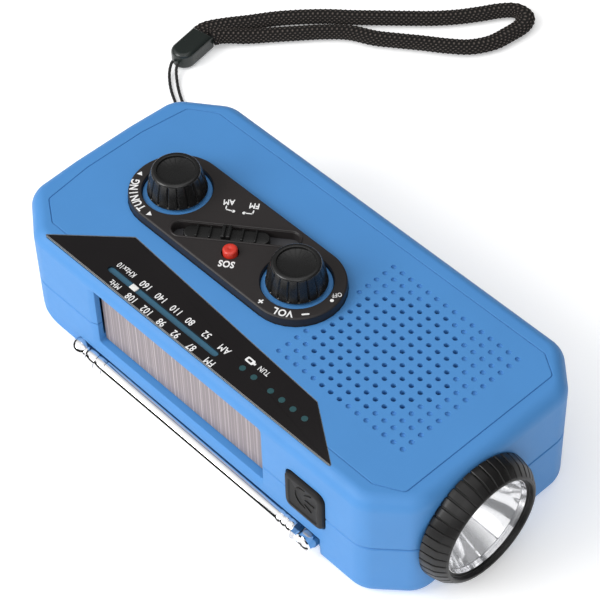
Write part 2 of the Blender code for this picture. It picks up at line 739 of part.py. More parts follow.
def band_slider():
    """The AM/FM slider: a long cap with cross ribs, a raised middle rib and a stem below."""
    centre = slot_point(SLIDER_OFFSET)
    low = THICKNESS + GAP
    top = PANEL_TOP_Z - 0.6
    slider = plate("band_slider", stadium(centre, SLIDER_LENGTH, SLOT_WIDTH - 2 * GAP, SLOT_ANGLE, 5),
                   low, top, KNOB_PLASTIC, origin=(*centre, low))
    turn = Matrix.Translation((*centre, 0)) @ Matrix.Rotation(SLOT_ANGLE, 4, "Z")
    half = SLOT_WIDTH / 2 - GAP

    def build(shape):
        for along in (-6.6, -3.4, 3.4, 6.6):
            add_box(shape, (along - 0.35, -half + 0.1, top - 0.5), (along + 0.35, half - 0.1, top + 0.5))
        add_box(shape, (-0.9, -half + 0.1, top - 0.5), (0.9, half - 0.1, top + 1.2))
        add_box(shape, (-3, -STEM_WIDTH / 2, INNER_TOP_Z - 0.3), (3, STEM_WIDTH / 2, low + 0.5))
        shape.transform(turn)

    ribs = finish("slider_ribs", mesh_from("slider_ribs", build), None)
    boolean(slider, ribs, "UNION")


def sos_button():
    top = PANEL_TOP_Z + SOS_RISE
    flange = INNER_TOP_Z - GAP
    profile = [(0, top), (SOS_RADIUS - 0.5, top), (SOS_RADIUS, top - 0.5), (SOS_RADIUS, flange),
               (SOS_RADIUS + 0.8, flange), (SOS_RADIUS + 0.8, flange - 0.8), (1.0, flange - 0.8),
               (1.0, flange - 1.2), (0, flange - 1.2)]
    turned("sos_button", [(r, z - flange) for r, z in profile], (SOS_X, SOS_Y, flange),
           ("button_red", RED, 0.4), steps=24)


def dial():
    """The dial window with its slot, the pointer in it and the plate behind."""
    low = THICKNESS - DIAL_PLATE
    middle = strip_point(strip_length() / 2)
    window = plate("dial_window", DIAL_OUTLINE, low, THICKNESS, ("dial_gloss", BLACK, 0.05))
    boolean(window, plate("strip_cut", stadium(middle, strip_length() + STRIP_WIDTH, STRIP_WIDTH,
                                               strip_angle(), 4), low - 1, THICKNESS + 1, None))
    x, y = strip_point(POINTER_ALONG)
    half = STRIP_WIDTH / 2 - GAP
    z = INNER_TOP_Z - 0.1
    pointer = box("dial_pointer", (x - POINTER_LENGTH / 2, y - half, z),
                  (x + POINTER_LENGTH / 2, y + half, THICKNESS - 0.3), ("pointer_white", WHITE, 0.5),
                  origin=(x, y, z))
    pointer.rotation_euler = (0, 0, strip_angle())
    reach = strip_length() / 2 + 3
    box("dial_backplate", (middle[0] - reach, middle[1] - 2.1, INNER_TOP_Z - 1.6),
        (middle[0] + reach, middle[1] + 2.1, INNER_TOP_Z - 0.5), ("dial_teal", (0.03, 0.16, 0.22), 0.5))


def speaker():
    """Basket, cone and magnet, hung under the grille."""
    top = INNER_TOP_Z - GAP
    r, back = SPEAKER_RADIUS, BOARD_Z + 0.5
    basket = [(r, top), (r, top - 1.4), (r - 1.2, top - 1.4), (MAGNET_RADIUS + 1, back),
              (0, back), (0, back + 1.2), (MAGNET_RADIUS, back + 1.2), (r - 2.4, top)]
    shell = [(x, z) for x, z in basket]
    turned("speaker_frame", [shell[5], shell[6], shell[7], *shell[:5]],
           (SPEAKER_X, SPEAKER_Y, 0), PLAIN_STEEL, steps=40)
    rim = r - 4.2
    low = back + 1.2 + GAP
    cone = [(0, low + 1.4), (3.4, low + 0.7), (rim - 0.4, top - 0.4), (rim, top - 0.4), (rim, top - 1.0),
            (4.2, low), (0, low)]
    turned("speaker_cone", cone, (SPEAKER_X, SPEAKER_Y, 0), ("cone_black", BLACK, 0.8), steps=32)
    rod("speaker_magnet", (SPEAKER_X, SPEAKER_Y, back - GAP - 3.6), (SPEAKER_X, SPEAKER_Y, back - GAP),
        MAGNET_RADIUS, ("magnet_grey", GREY, 0.5), 32)


def solar_cell():
    y = -(HALF_WIDTH - WALL - GAP)
    inset = 0.9
    box("solar_cell", (WINDOW_X[0] + inset, y, WINDOW_Z[0] + WINDOW_BEVEL - GAP),
        (WINDOW_X[1] - GAP, y + CELL_THICKNESS, WINDOW_Z[1] - GAP),
        ("solar_brown", (0.16, 0.12, 0.13), 0.3))


def torch():
    """Bezel ring, lens, reflector and lamp of the torch, on one axis along X."""
    turn = (0, math.pi / 2, 0)
    back = HALF_LENGTH + 0.2
    front = RING_FRONT_X
    tail = HALF_LENGTH - NECK_LENGTH
    bore = RING_OPENING - 0.2
    ring = [(RING_OPENING, front), (RING_FRONT_RADIUS - 0.5, front), (RING_FRONT_RADIUS, front - 0.5),
            (RING_RADIUS, front - 2.4), (RING_RADIUS, back), (NECK_RADIUS, back), (NECK_RADIUS, tail),
            (bore, tail), (bore, front - 0.8)]
    turned("torch_ring", [(r, x - back) for r, x in ring], (back, TORCH_Y, TORCH_Z),
           ("ring_black", BLACK, 0.4), steps=56, turn=turn, closed=True)
    lens_x = front - 1.2
    rod("torch_lens", (lens_x - LENS_THICKNESS, TORCH_Y, TORCH_Z), (lens_x, TORCH_Y, TORCH_Z),
        bore - GAP, ("lens_clear", GLASS, 0.05), 48)
    rim = lens_x - LENS_THICKNESS - GAP
    deep = rim - REFLECTOR_DEPTH
    dish = [(REFLECTOR_RADIUS * math.sqrt(k / 6), deep + REFLECTOR_DEPTH * k / 6) for k in range(6, 0, -1)]
    bowl = [(0, deep + 2.0)] + [(max(r - 0.8, 2.6), max(x, deep + 2.0)) for r, x in reversed(dish)]
    outline = bowl + dish + [(0, deep + 0.6)]
    turned("torch_reflector", [(r, x - deep) for r, x in outline], (deep, TORCH_Y, TORCH_Z),
           METAL, steps=40, turn=turn)
    lamp = [(0, 4.6), (1.6, 3.6), (2.0, 2.0), (2.0, 0), (0, 0)]
    turned("torch_led", lamp, (deep + 2.3, TORCH_Y, TORCH_Z), ("led_clear", WHITE, 0.2), steps=20, turn=turn)


def torch_button():
    """A square rubber button with a flange behind the case wall."""
    half = TORCH_BUTTON_SIZE / 2
    y_front = -(HALF_WIDTH + TORCH_BUTTON_RISE)
    y_flange = -(HALF_WIDTH - WALL - GAP)
    centre = (TORCH_BUTTON_X, y_front, TORCH_BUTTON_Z)
    pad = plate("torch_button", rectangle((-half, half), (-half, half), TORCH_BUTTON_CORNER),
                y_front, y_flange + 0.4, ("button_rubber", BLACK, 0.6), origin=(0, 0, y_front))
    pad.location = Vector(centre) * MM
    pad.rotation_euler = (-math.pi / 2, 0, 0)
    bevel(pad, 0.5, 2, 60)
    flange = box("button_flange", (TORCH_BUTTON_X - half - 0.9, y_flange, TORCH_BUTTON_Z - half - 0.9),
                 (TORCH_BUTTON_X + half + 0.9, y_flange + 0.8, TORCH_BUTTON_Z + half + 0.9), None)
    boolean(pad, flange, "UNION")
    box("torch_switch", (TORCH_BUTTON_X - 4, y_flange + 0.8 + BUTTON_TRAVEL + 0.3, TORCH_BUTTON_Z - 4),
        (TORCH_BUTTON_X + 4, y_flange + 6, TORCH_BUTTON_Z + 4), ("switch_grey", GREY, 0.5))


def antenna():
    """Fork, pin and five telescopic sections with a round tip, closed up in the case's rebate."""
    pivot = Vector((ANTENNA_PIVOT_X, ANTENNA_Y, ANTENNA_Z))
    fork_front = ANTENNA_Y - 1.8
    base = rod("antenna_base", (pivot.x, fork_front, pivot.z), (pivot.x, REBATE_Y - GAP, pivot.z),
               FORK_RADIUS, METAL, 24, origin=pivot)
    stem = rod("antenna_stem", (pivot.x, REBATE_Y - 2 * GAP, pivot.z), (pivot.x, REBATE_Y + 2 * WALL, pivot.z),
               1.5, None, 20)
    boolean(base, stem, "UNION")
    slot = TONGUE_THICKNESS / 2 + GAP
    boolean(base, box("fork_slot", (pivot.x - 5, fork_front - 1, pivot.z - slot),
                      (pivot.x + 1.9, ANTENNA_Y + 1.9, pivot.z + slot), None))
    boolean(base, rod("fork_bore", pivot - Vector((0, 0, 4)), pivot + Vector((0, 0, 4)),
                      PIN_RADIUS + 0.1, None, 16))
    reach = FORK_RADIUS - 0.3
    rod("antenna_pin", pivot - Vector((0, 0, reach)), pivot + Vector((0, 0, reach)), PIN_RADIUS, PLAIN_STEEL, 16)
    start = pivot.x - TUBE_SETBACK
    for i, radius in enumerate(SECTION_RADII, 1):
        antenna_section(i, radius, start, pivot)
    ball_x = SECTION_END_X - SECTION_REACH[-1] - TIP_RADIUS + 0.6
    profile = [(TIP_RADIUS * math.sin(math.pi * k / 10), TIP_RADIUS * math.cos(math.pi * k / 10))
               for k in range(11)]
    profile[0], profile[-1] = (0, TIP_RADIUS), (0, -TIP_RADIUS)
    tip = turned("antenna_tip", profile, (ball_x, ANTENNA_Y, ANTENNA_Z), METAL, steps=20,
                 turn=(0, math.pi / 2, 0))
    boolean(tip, rod("tip_bore", (ball_x, ANTENNA_Y, ANTENNA_Z), (ball_x + 5, ANTENNA_Y, ANTENNA_Z),
                     SECTION_RADII[-1] + 0.15, None, 12))


def antenna_section(i, radius, start, pivot):
    """One section. The first carries the tongue; the others are open tubes, and the last is solid."""
    end = SECTION_END_X - SECTION_REACH[i - 1]
    head = start - 1.6 * (i - 1)
    name = f"antenna_tube_{i}" if i < len(SECTION_RADII) else "antenna_rod"
    section = rod(name, (end, ANTENNA_Y, ANTENNA_Z), (head, ANTENNA_Y, ANTENNA_Z), radius, METAL, 20,
                  origin=pivot if i == 1 else (end, ANTENNA_Y, ANTENNA_Z))
    if i == 1:
        half = TONGUE_THICKNESS / 2
        tongue = box("tongue_bar", (start - 1.5, ANTENNA_Y - 1.6, ANTENNA_Z - half),
                     (pivot.x, ANTENNA_Y + 1.6, ANTENNA_Z + half), None)
        boolean(section, tongue, "UNION")
        boolean(section, rod("tongue_eye", (pivot.x, ANTENNA_Y, ANTENNA_Z - half),
                             (pivot.x, ANTENNA_Y, ANTENNA_Z + half), 1.6, None, 20), "UNION")
        boolean(section, rod("tongue_bore", pivot - Vector((0, 0, 3)), pivot + Vector((0, 0, 3)),
                             PIN_RADIUS + 0.1, None, 16))
    if i in COLLARED_SECTIONS:
        collar = rod(f"collar_{i}", (end - 0.05, ANTENNA_Y, ANTENNA_Z),
                     (end - 0.05 + COLLAR_LENGTH, ANTENNA_Y, ANTENNA_Z), COLLAR_RADIUS, None, 20)
        boolean(section, collar, "UNION")
    if i < len(SECTION_RADII):
        depth = head - (1.2 if i > 1 else 1.6)
        boolean(section, rod(f"section_bore_{i}", (end - 1, ANTENNA_Y, ANTENNA_Z),
                             (depth, ANTENNA_Y, ANTENNA_Z), radius - SECTION_WALL, None, 20))


def crank():
    """Rotor in its pocket, folding arm on a hinge pin and a free-turning knob."""
    low = GAP
    rotor = rod("crank_rotor", (CRANK_X, CRANK_Y, low), (CRANK_X, CRANK_Y, ROTOR_TOP),
                POCKET_RADIUS - 0.4, BLUE_RUBBER, 64, origin=(CRANK_X, CRANK_Y, 0))
    arm_low = 2 * HINGE_Z + GAP
    arm_high = arm_low + ARM_THICKNESS
    hinge_x = CRANK_X - HINGE_OFFSET
    knob_x = CRANK_X + CRANK_KNOB_OFFSET
    half = ARM_WIDTH / 2 + ARM_CLEARANCE
    boolean(rotor, box("arm_slot", (CRANK_X - POCKET_RADIUS - 1, CRANK_Y - half, -1),
                       (knob_x, CRANK_Y + half, arm_high + 2 * GAP), None))
    well = 2 * (CRANK_KNOB_RADIUS + ARM_CLEARANCE)
    boolean(rotor, plate("knob_well", stadium((knob_x + SWING_CLEARANCE / 2, CRANK_Y), well + SWING_CLEARANCE,
                                              well, steps=16), -1, ROTOR_TOP + 1, None))
    boolean(rotor, rod("hinge_bore", (hinge_x, CRANK_Y - 8.6, HINGE_Z), (hinge_x, CRANK_Y + 8.6, HINGE_Z),
                       1.1, None, 16))
    axle_top = SEAM_Z + GEAR_WIDTH + 1.2
    boolean(rotor, rod("crank_axle", (CRANK_X, CRANK_Y, ROTOR_TOP - 1), (CRANK_X, CRANK_Y, axle_top),
                       AXLE_RADIUS, None, 32), "UNION")
    rod("crank_hinge_pin", (hinge_x, CRANK_Y - 8.2, HINGE_Z), (hinge_x, CRANK_Y + 8.2, HINGE_Z), 0.8,
        PLAIN_STEEL, 16)
    arm = plate("crank_arm", stadium(((hinge_x + knob_x) / 2, CRANK_Y), knob_x - hinge_x + ARM_WIDTH,
                                     ARM_WIDTH, steps=8), arm_low, arm_high, BLUE_RUBBER,
                origin=(hinge_x, CRANK_Y, HINGE_Z))
    boolean(arm, box("arm_end", (hinge_x - ARM_WIDTH, CRANK_Y - ARM_WIDTH, arm_low - 1),
                     (hinge_x - KNUCKLE_RADIUS, CRANK_Y + ARM_WIDTH, arm_high + 1), None))
    boolean(arm, rod("arm_knuckle", (hinge_x, CRANK_Y - ARM_WIDTH / 2, HINGE_Z),
                     (hinge_x, CRANK_Y + ARM_WIDTH / 2, HINGE_Z), KNUCKLE_RADIUS, None, 20), "UNION")
    boolean(arm, box("arm_riser", (hinge_x - KNUCKLE_RADIUS * 0.9, CRANK_Y - ARM_WIDTH / 2 + 0.2, HINGE_Z),
                     (hinge_x + KNUCKLE_RADIUS * 0.9, CRANK_Y + ARM_WIDTH / 2 - 0.2, arm_low + 1), None), "UNION")
    boolean(arm, rod("arm_bore", (hinge_x, CRANK_Y - ARM_WIDTH, HINGE_Z), (hinge_x, CRANK_Y + ARM_WIDTH, HINGE_Z),
                     1.0, None, 16))
    boolean(arm, rod("arm_stud", (knob_x, CRANK_Y, arm_high - 0.5), (knob_x, CRANK_Y, arm_high + 4.5),
                     1.6, None, 20), "UNION")
    low, high = arm_high + GAP, arm_high + GAP + CRANK_KNOB_HEIGHT
    r = CRANK_KNOB_RADIUS
    profile = [(0, high), (r - 0.8, high), (r, high - 0.8), (r, low + 0.8), (r - 0.8, low), (1.9, low),
               (1.9, low + 4.6), (0, low + 4.6)]
    turned("crank_knob", [(a, z - low) for a, z in profile], (knob_x, CRANK_Y, low), KNOB_PLASTIC, steps=36)


def gear_outline(teeth, centre, turn=0.0):
    """Straight-flanked teeth with clearance at the roots."""
    pitch = GEAR_MODULE * teeth / 2
    tip, root = pitch + 0.8 * GEAR_MODULE, pitch - 1.15 * GEAR_MODULE
    points = []
    for k in range(teeth):
        middle = turn + math.tau * k / teeth
        step = math.tau / teeth
        for radius, share in ((root, -0.27), (tip, -0.10), (tip, 0.10), (root, 0.27)):
            a = middle + share * step
            points.append((centre[0] + radius * math.cos(a), centre[1] + radius * math.sin(a)))
    return points


def idler_centre():
    """The idler meshes with the crank's gear and with the generator's pinion."""
    apart = GEAR_MODULE * (WHEEL_TEETH + PINION_TEETH) / 2
    half = (GENERATOR_Y - CRANK_Y) / 2
    return CRANK_X + math.sqrt(apart ** 2 - half ** 2), CRANK_Y + half


def gear_train():
    """Crank gear, idler of two gears on a fixed axle, and the generator with its pinion."""
    look = ("gear_white", WHITE, 0.5)
    low = SEAM_Z + GAP
    crank_at, idler_at, generator_at = (CRANK_X, CRANK_Y), idler_centre(), (CRANK_X, GENERATOR_Y)
    to_idler = math.atan2(idler_at[1] - CRANK_Y, idler_at[0] - CRANK_X)
    drive = plate("drive_gear", gear_outline(WHEEL_TEETH, crank_at, to_idler), low, low + GEAR_WIDTH, look,
                  origin=(*crank_at, low))
    boolean(drive, rod("drive_bore", (*crank_at, low - 1), (*crank_at, low + GEAR_WIDTH + 1),
                       AXLE_RADIUS + 0.1, None, 32))
    half_tooth = math.pi / PINION_TEETH
    back = to_idler + math.pi + half_tooth
    idler = plate("idler_gear", gear_outline(PINION_TEETH, idler_at, back), low, low + GEAR_WIDTH + 0.5, look,
                  origin=(*idler_at, low))
    level = low + GEAR_WIDTH + 0.3
    to_generator = math.atan2(GENERATOR_Y - idler_at[1], CRANK_X - idler_at[0])
    wheel = plate("idler_wheel", gear_outline(WHEEL_TEETH, idler_at, to_generator), level, level + GEAR_WIDTH, None)
    boolean(idler, wheel, "UNION")
    boolean(idler, rod("idler_bore", (*idler_at, low - 1), (*idler_at, level + GEAR_WIDTH + 1), 1.3, None, 20))
    rod("idler_axle", (*idler_at, POCKET_DEPTH + POCKET_WALL + 0.2), (*idler_at, level + GEAR_WIDTH - 0.1), 1.1,
        PLAIN_STEEL, 20)
    pinion = plate("generator_pinion", gear_outline(PINION_TEETH, generator_at, to_generator + math.pi + half_tooth),
                   level, level + GEAR_WIDTH - 0.1, look, origin=(*generator_at, level))
    boolean(pinion, rod("pinion_shaft", (*generator_at, level + 1), (*generator_at, level + GEAR_WIDTH + 2), 0.9,
                        None, 16), "UNION")
    body_low = level + GEAR_WIDTH + 0.2
    body = rod("generator_body", (*generator_at, body_low), (*generator_at, INNER_TOP_Z - GAP),
               GENERATOR_RADIUS, PLAIN_STEEL, 36)
    boolean(body, rod("generator_bore", (*generator_at, body_low - 1), (*generator_at, body_low + 2.5), 1.2,
                      None, 16))


def electronics():
    """Board with its switches and the tuning and volume units, battery, ferrite aerial and sockets."""
    top = BOARD_Z + BOARD_THICKNESS
    box("main_board", (BOARD_X[0], BOARD_Y[0], BOARD_Z), (BOARD_X[1], BOARD_Y[1], top),
        ("board_green", GREEN, 0.5))
    low, high = top + GAP, INNER_TOP_Z - 1.0
    box("tuning_capacitor", (TUNING_X - 8, KNOB_Y - 7.3, low), (TUNING_X + 8, KNOB_Y + 7.3, high - 0.2),
        ("capacitor_cream", (0.5, 0.45, 0.35), 0.5))
    rod("volume_pot", (VOLUME_X, KNOB_Y, low), (VOLUME_X, KNOB_Y, high - 0.2), 6.8, PLAIN_STEEL, 32)
    x, y = slot_point(SLIDER_OFFSET)
    band = box("band_switch", (-7, -2.2, low), (7, 2.2, high), ("switch_grey", GREY, 0.5))
    band.location = Vector((x, y, 0)) * MM
    band.rotation_euler = (0, 0, SLOT_ANGLE)
    rod("sos_switch", (SOS_X, SOS_Y, low), (SOS_X, SOS_Y, INNER_TOP_Z - 2.8), 2.3, ("switch_grey", GREY, 0.5), 24)
    rod("battery_cell", (BATTERY_X, BATTERY_Y[0], 2.8 + BATTERY_RADIUS), (BATTERY_X, BATTERY_Y[1], 2.8 + BATTERY_RADIUS),
        BATTERY_RADIUS, ("battery_wrap", (0.05, 0.2, 0.1), 0.4), 28)
    rod("ferrite_rod", (FERRITE_X, -22, FERRITE_Z), (FERRITE_X, 25.5, FERRITE_Z), FERRITE_RADIUS,
        ("ferrite_black", BLACK, 0.5), 20)
    coil = rod("ferrite_coil", (FERRITE_X, 8, FERRITE_Z), (FERRITE_X, 20, FERRITE_Z), FERRITE_RADIUS + 1.3,
               ("coil_copper", BRASS, 0.4, 1.0), 24)
    boolean(coil, rod("coil_bore", (FERRITE_X, 7, FERRITE_Z), (FERRITE_X, 21, FERRITE_Z), FERRITE_RADIUS + GAP,
                      None, 20))
    mouth = -(HALF_LENGTH - COVER_THICKNESS - 2 * GAP)
    usb = box("usb_a_socket", (mouth, -2.3, 13.2), (mouth + 13.5, 11.3, 19.8), PLAIN_STEEL)
    boolean(usb, box("usb_mouth", (mouth - 1, -1.6, 13.9), (mouth + 11, 10.6, 16.2), None))
    boolean(usb, box("usb_gap", (mouth - 1, -1.6, 18.3), (mouth + 11, 10.6, 19.1), None))
    boolean(usb, box("usb_sides", (mouth - 1, -1.6, 14.5), (mouth + 11, -1.1, 18.8), None))
    micro = box("micro_usb_socket", (mouth, -10.4, 14.9), (mouth + 5.6, -2.6, 18.1), PLAIN_STEEL)
    boolean(micro, box("micro_mouth", (mouth - 1, -9.9, 15.5), (mouth + 4.5, -3.1, 17.5), None))


def port_cover():
    """A rubber flap over the sockets, hinged along its lower edge."""
    x_out = -HALF_LENGTH
    low, high = PORT_Z[0] - COVER_MARGIN + GAP, PORT_Z[1] + COVER_MARGIN - GAP
    reach = PORT_HALF_WIDTH + COVER_MARGIN - GAP
    origin = (x_out + COVER_THICKNESS / 2, 0, low + COVER_HINGE_RISE)
    box("port_cover", (x_out, -reach, low), (x_out + COVER_THICKNESS, reach, high),
        ("cover_blue", BLUE, 0.6), origin=origin)


def wrist_strap():
    """Bar in the case's corner, two thin strings, the sleeve that joins them, and the strap."""
    rod("lanyard_bar", (NOTCH_X, NOTCH_Y, NOTCH_Z[0] + GAP), (NOTCH_X, NOTCH_Y, NOTCH_Z[1] - GAP), BAR_RADIUS,
        PLAIN_STEEL, 16)
    tube("lanyard_string_a", from_notch(STRING_A), STRING_RADIUS, ("string_black", BLACK, 0.7), 44)
    tube("lanyard_string_b", from_notch(STRING_B), STRING_RADIUS, ("string_black", BLACK, 0.7), 44)
    half, reach = BEAD_WIDTH / 2, BEAD_LENGTH / 2
    outline = [(-half, reach), (-half, half - reach)]
    outline += [(half * math.cos(a), half - reach + half * math.sin(a))
                for a in (math.pi + math.pi * k / 8 for k in range(1, 8))]
    outline += [(half, half - reach), (half, reach)]
    bead = plate("lanyard_bead", outline, 0, BEAD_HEIGHT, ("bead_black", BLACK, 0.3))
    bead.location = Vector((BEAD_X, BEAD_Y, 0.1)) * MM
    bead.rotation_euler = (0, 0, BEAD_TURN)
    bevel(bead, 1.3, 2, 50)
    tube("wrist_strap", from_notch(STRAP_ROUTE), STRAP_RADIUS, ("strap_black", BLACK, 0.9), 78)


def main():
    start_scene()
    shared = side_cutters()
    front_case(shared)
    rear_case(shared)
    case_screws()
    control_panel()
    knob("tuning_knob", TUNING_X)
    knob("volume_knob", VOLUME_X)
    band_slider()
    sos_button()
    dial()
    speaker()
    solar_cell()
    torch()
    torch_button()
    antenna()
    crank()
    gear_train()
    electronics()
    port_cover()
    wrist_strap()


main()
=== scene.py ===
"""Looks of the hand-crank emergency radio, built round its packed frame.

Lengths are in millimetres about the middle of the case, as on a drawing: x towards the torch,
-y towards the solar cell and z up out of the control panel. at() takes them to the row's frame.
"""

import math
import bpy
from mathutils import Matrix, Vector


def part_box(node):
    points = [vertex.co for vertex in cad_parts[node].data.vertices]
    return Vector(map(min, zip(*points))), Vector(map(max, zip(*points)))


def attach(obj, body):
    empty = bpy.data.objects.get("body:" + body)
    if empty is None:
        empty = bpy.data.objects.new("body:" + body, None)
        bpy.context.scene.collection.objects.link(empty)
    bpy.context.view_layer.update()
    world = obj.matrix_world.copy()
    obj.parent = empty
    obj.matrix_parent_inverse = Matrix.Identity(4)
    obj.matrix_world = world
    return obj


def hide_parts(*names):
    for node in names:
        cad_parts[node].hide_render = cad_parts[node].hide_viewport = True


bl_info = {
    "name": "Emergency radio",
    "version": (1, 0, 0),
    "blender": (4, 5, 0),
    "location": "3D View > Sidebar > Radio",
    "description": "Builds the visible pieces of a hand-crank emergency radio round its frame",
    "category": "Object",
}

import bmesh
import bpy
from mathutils import Matrix, Vector

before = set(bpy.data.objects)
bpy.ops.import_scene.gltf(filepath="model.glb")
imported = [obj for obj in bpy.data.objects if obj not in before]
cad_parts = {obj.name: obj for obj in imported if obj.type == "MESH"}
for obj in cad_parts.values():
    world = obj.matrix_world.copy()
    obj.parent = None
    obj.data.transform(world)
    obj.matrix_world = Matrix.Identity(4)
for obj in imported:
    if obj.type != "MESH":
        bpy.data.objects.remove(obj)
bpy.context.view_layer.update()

MM = 0.001
CASE_LOW, CASE_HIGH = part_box("front_case")
CENTRE = Vector(((CASE_LOW[0] + CASE_HIGH[0]) / 2, (CASE_LOW[1] + CASE_HIGH[1]) / 2, 0))
HALF_LENGTH = (CASE_HIGH[0] - CASE_LOW[0]) / 2 / MM
HALF_WIDTH = (CASE_HIGH[1] - CASE_LOW[1]) / 2 / MM
FACE_Z = 31.0
SEAM_Z = 16.0
PANEL_Z = FACE_Z + 2.3
WALL = 2.0
RIM_RADIUS = 3.2  # of the long edges of the case
CORNER_RADIUS = 7.0  # of the case's plan
PRINT = 0.012  # half the thickness of a printed mark
TUNING = (-35.4, 0.5)
VOLUME = (2.5, 0.5)
SLOT_CENTRE = ((TUNING[0] + VOLUME[0]) / 2, 0.4)
SLOT_ANGLE = math.radians(37.5)
SLOT_LENGTH, SLOT_WIDTH = 27.8, 4.2
SLIDER_ALONG = -2.0  # where the slider rests, from the slot's centre
SOS = (-13.2, -4.1)
TORCH_KEY = (36.1, 17.3)  # x, z
KEY_HALF = 5.5
SPEAKER = (27.8, 1.3)
HOLE_PITCH = 2.55
TORCH = (-7.3, 15.8)
ANTENNA_Y, ANTENNA_Z = -29.8, 4.9
PIVOT_X = 37.0
SECTION_RADII = (2.3, 1.9, 1.5, 1.1, 0.7)
SECTION_WALL = 0.25
BALL_RADIUS = 2.6
BAND = (0.34, 0.44, 0.98, 0.0)
RING_RIBS = 42
SCREWS = (52, 19.5)  # x and y of the four corners
CRANK = (-16.0, 0.5)
DIAL = ((-46.9, -27.6), (41.6, -27.1), (27.7, -17.7), (-32.5, -14.2))
STRIP = ((-29.1, -23.9), (3.8, -23.9))
STRIP_MIDDLE = ((STRIP[0][0] + STRIP[1][0]) / 2, (STRIP[0][1] + STRIP[1][1]) / 2)
NOTCH = (-55.4, 26.2)
READ = math.pi  # lettering reads along -x, with its feet towards +y

STRING_A = (
    (-57.2, 28.0, 7.6), (-60.5, 29.6, 6.6), (-66.0, 31.8, 3.4), (-72.0, 34.2, 1.3),
    (-78.0, 36.8, 0.5), (-84.0, 39.6, 0.45), (-88.4, 42.0, 0.45), (-91.9, 44.6, 0.7),
    (-93.7, 46.6, 1.4), (-94.3, 47.9, 2.0),
)
STRING_B = (
    (-56.0, 28.6, 8.8), (-60.0, 31.0, 7.9), (-65.6, 33.4, 4.4), (-71.6, 35.8, 1.9),
    (-77.6, 38.4, 0.7), (-83.2, 41.1, 0.45), (-87.2, 43.4, 0.45), (-90.3, 45.6, 0.8),
    (-91.9, 47.0, 1.5), (-92.6, 48.0, 2.0),
)
STRAP_ROUTE = (
    (-97.0, 59.3, 2.4), (-96.9, 62.2, 2.3), (-94.8, 66.6, 2.0), (-91.8, 71.5, 1.7),
    (-88.2, 77.2, 1.6), (-84.0, 82.4, 1.6), (-79.5, 87.2, 1.6), (-74.6, 91.6, 1.6),
    (-69.6, 96.4, 1.6), (-64.6, 101.2, 1.6), (-60.0, 105.8, 1.6), (-56.0, 110.6, 1.6),
    (-52.8, 115.4, 1.6), (-50.0, 120.0, 1.6), (-47.2, 122.8, 1.6), (-43.8, 122.6, 1.6),
    (-42.2, 119.4, 1.6), (-42.4, 114.6, 1.6), (-43.2, 109.6, 1.6), (-46.0, 104.6, 1.6),
    (-50.6, 100.6, 1.6), (-55.4, 97.2, 1.6), (-60.2, 93.6, 1.6), (-65.2, 90.0, 1.6),
    (-71.2, 86.9, 1.6), (-76.2, 82.2, 1.6), (-80.4, 77.2, 1.6), (-84.4, 72.4, 1.6),
    (-88.2, 67.6, 1.7), (-91.3, 64.2, 2.0), (-92.8, 61.9, 2.3), (-93.3, 60.2, 2.4),
)
STRAP_WIDTH = 4.9
STRAP_THICKNESS = 2.2
STRING_WIDTH = 0.8


# ---------------------------------------------------------------- shapes

def at(x, y, z):
    """A point of the drawing in the row's frame, in metres."""
    return Vector((x, y, z)) * MM + CENTRE


def offset(outline, inset):
    """An anticlockwise outline moved inwards by inset."""
    count = len(outline)
    moved = []
    for i in range(count):
        point = Vector(outline[i])
        before = (point - Vector(outline[i - 1])).normalized()
        after = (Vector(outline[(i + 1) % count]) - point).normalized()
        normal = Vector((-before.y - after.y, before.x + after.x))
        normal /= normal.dot(Vector((-after.y, after.x)))
        moved.append(tuple(point + normal * inset))
    return moved


def rounded(corners, radius, steps=6):
    """An outline with its real corners rounded; bends of a few degrees stay."""
    result = []
    for i, corner in enumerate(corners):
        corner = Vector(corner)
        back = (Vector(corners[i - 1]) - corner).normalized()
        ahead = (Vector(corners[(i + 1) % len(corners)]) - corner).normalized()
        half = math.acos(max(-1, min(1, back.dot(ahead)))) / 2
        if math.pi / 2 - half < math.radians(4) or radius <= 0:
            result.append(tuple(corner))
            continue
        centre = corner + (back + ahead).normalized() * radius / math.sin(half)
        first = corner + back * radius / math.tan(half) - centre
        last = corner + ahead * radius / math.tan(half) - centre
        start = math.atan2(first.y, first.x)
        sweep = (math.atan2(last.y, last.x) - start + math.pi) % math.tau - math.pi
        for k in range(steps + 1):
            angle = start + sweep * k / steps
            result.append((centre.x + radius * math.cos(angle), centre.y + radius * math.sin(angle)))
    return result


def case_outline(inset=0.0, steps=8):
    """The case's plan with its eight corners rounded."""
    side, end = HALF_WIDTH - 8.4, -(HALF_LENGTH - 0.6)
    corners = [
        (HALF_LENGTH, -side), (HALF_LENGTH, side), (HALF_LENGTH - 9.2, HALF_WIDTH),
        (-(HALF_LENGTH - 12), HALF_WIDTH), (end, side), (-HALF_LENGTH, 8), (-HALF_LENGTH, -8),
        (end, -side), (-(HALF_LENGTH - 12), -HALF_WIDTH), (HALF_LENGTH - 9.2, -HALF_WIDTH),
    ]
    return rounded(offset(corners, inset), CORNER_RADIUS - inset, steps)


def stadium(centre, length, width, angle=0.0, steps=16):
    """A slot outline with round ends, turned by angle about its centre."""
    reach, radius = (length - width) / 2, width / 2
    c, s = math.cos(angle), math.sin(angle)
    points = []
    for side, base in ((1, -math.pi / 2), (-1, math.pi / 2)):
        for k in range(steps + 1):
            turn = base + math.pi * k / steps
            x, y = side * reach + radius * math.cos(turn), radius * math.sin(turn)
            points.append((centre[0] + x * c - y * s, centre[1] + x * s + y * c))
    return points


def circle(centre, radius, steps=64):
    """A round outline."""
    return [(centre[0] + radius * math.cos(math.tau * k / steps),
             centre[1] + radius * math.sin(math.tau * k / steps)) for k in range(steps)]


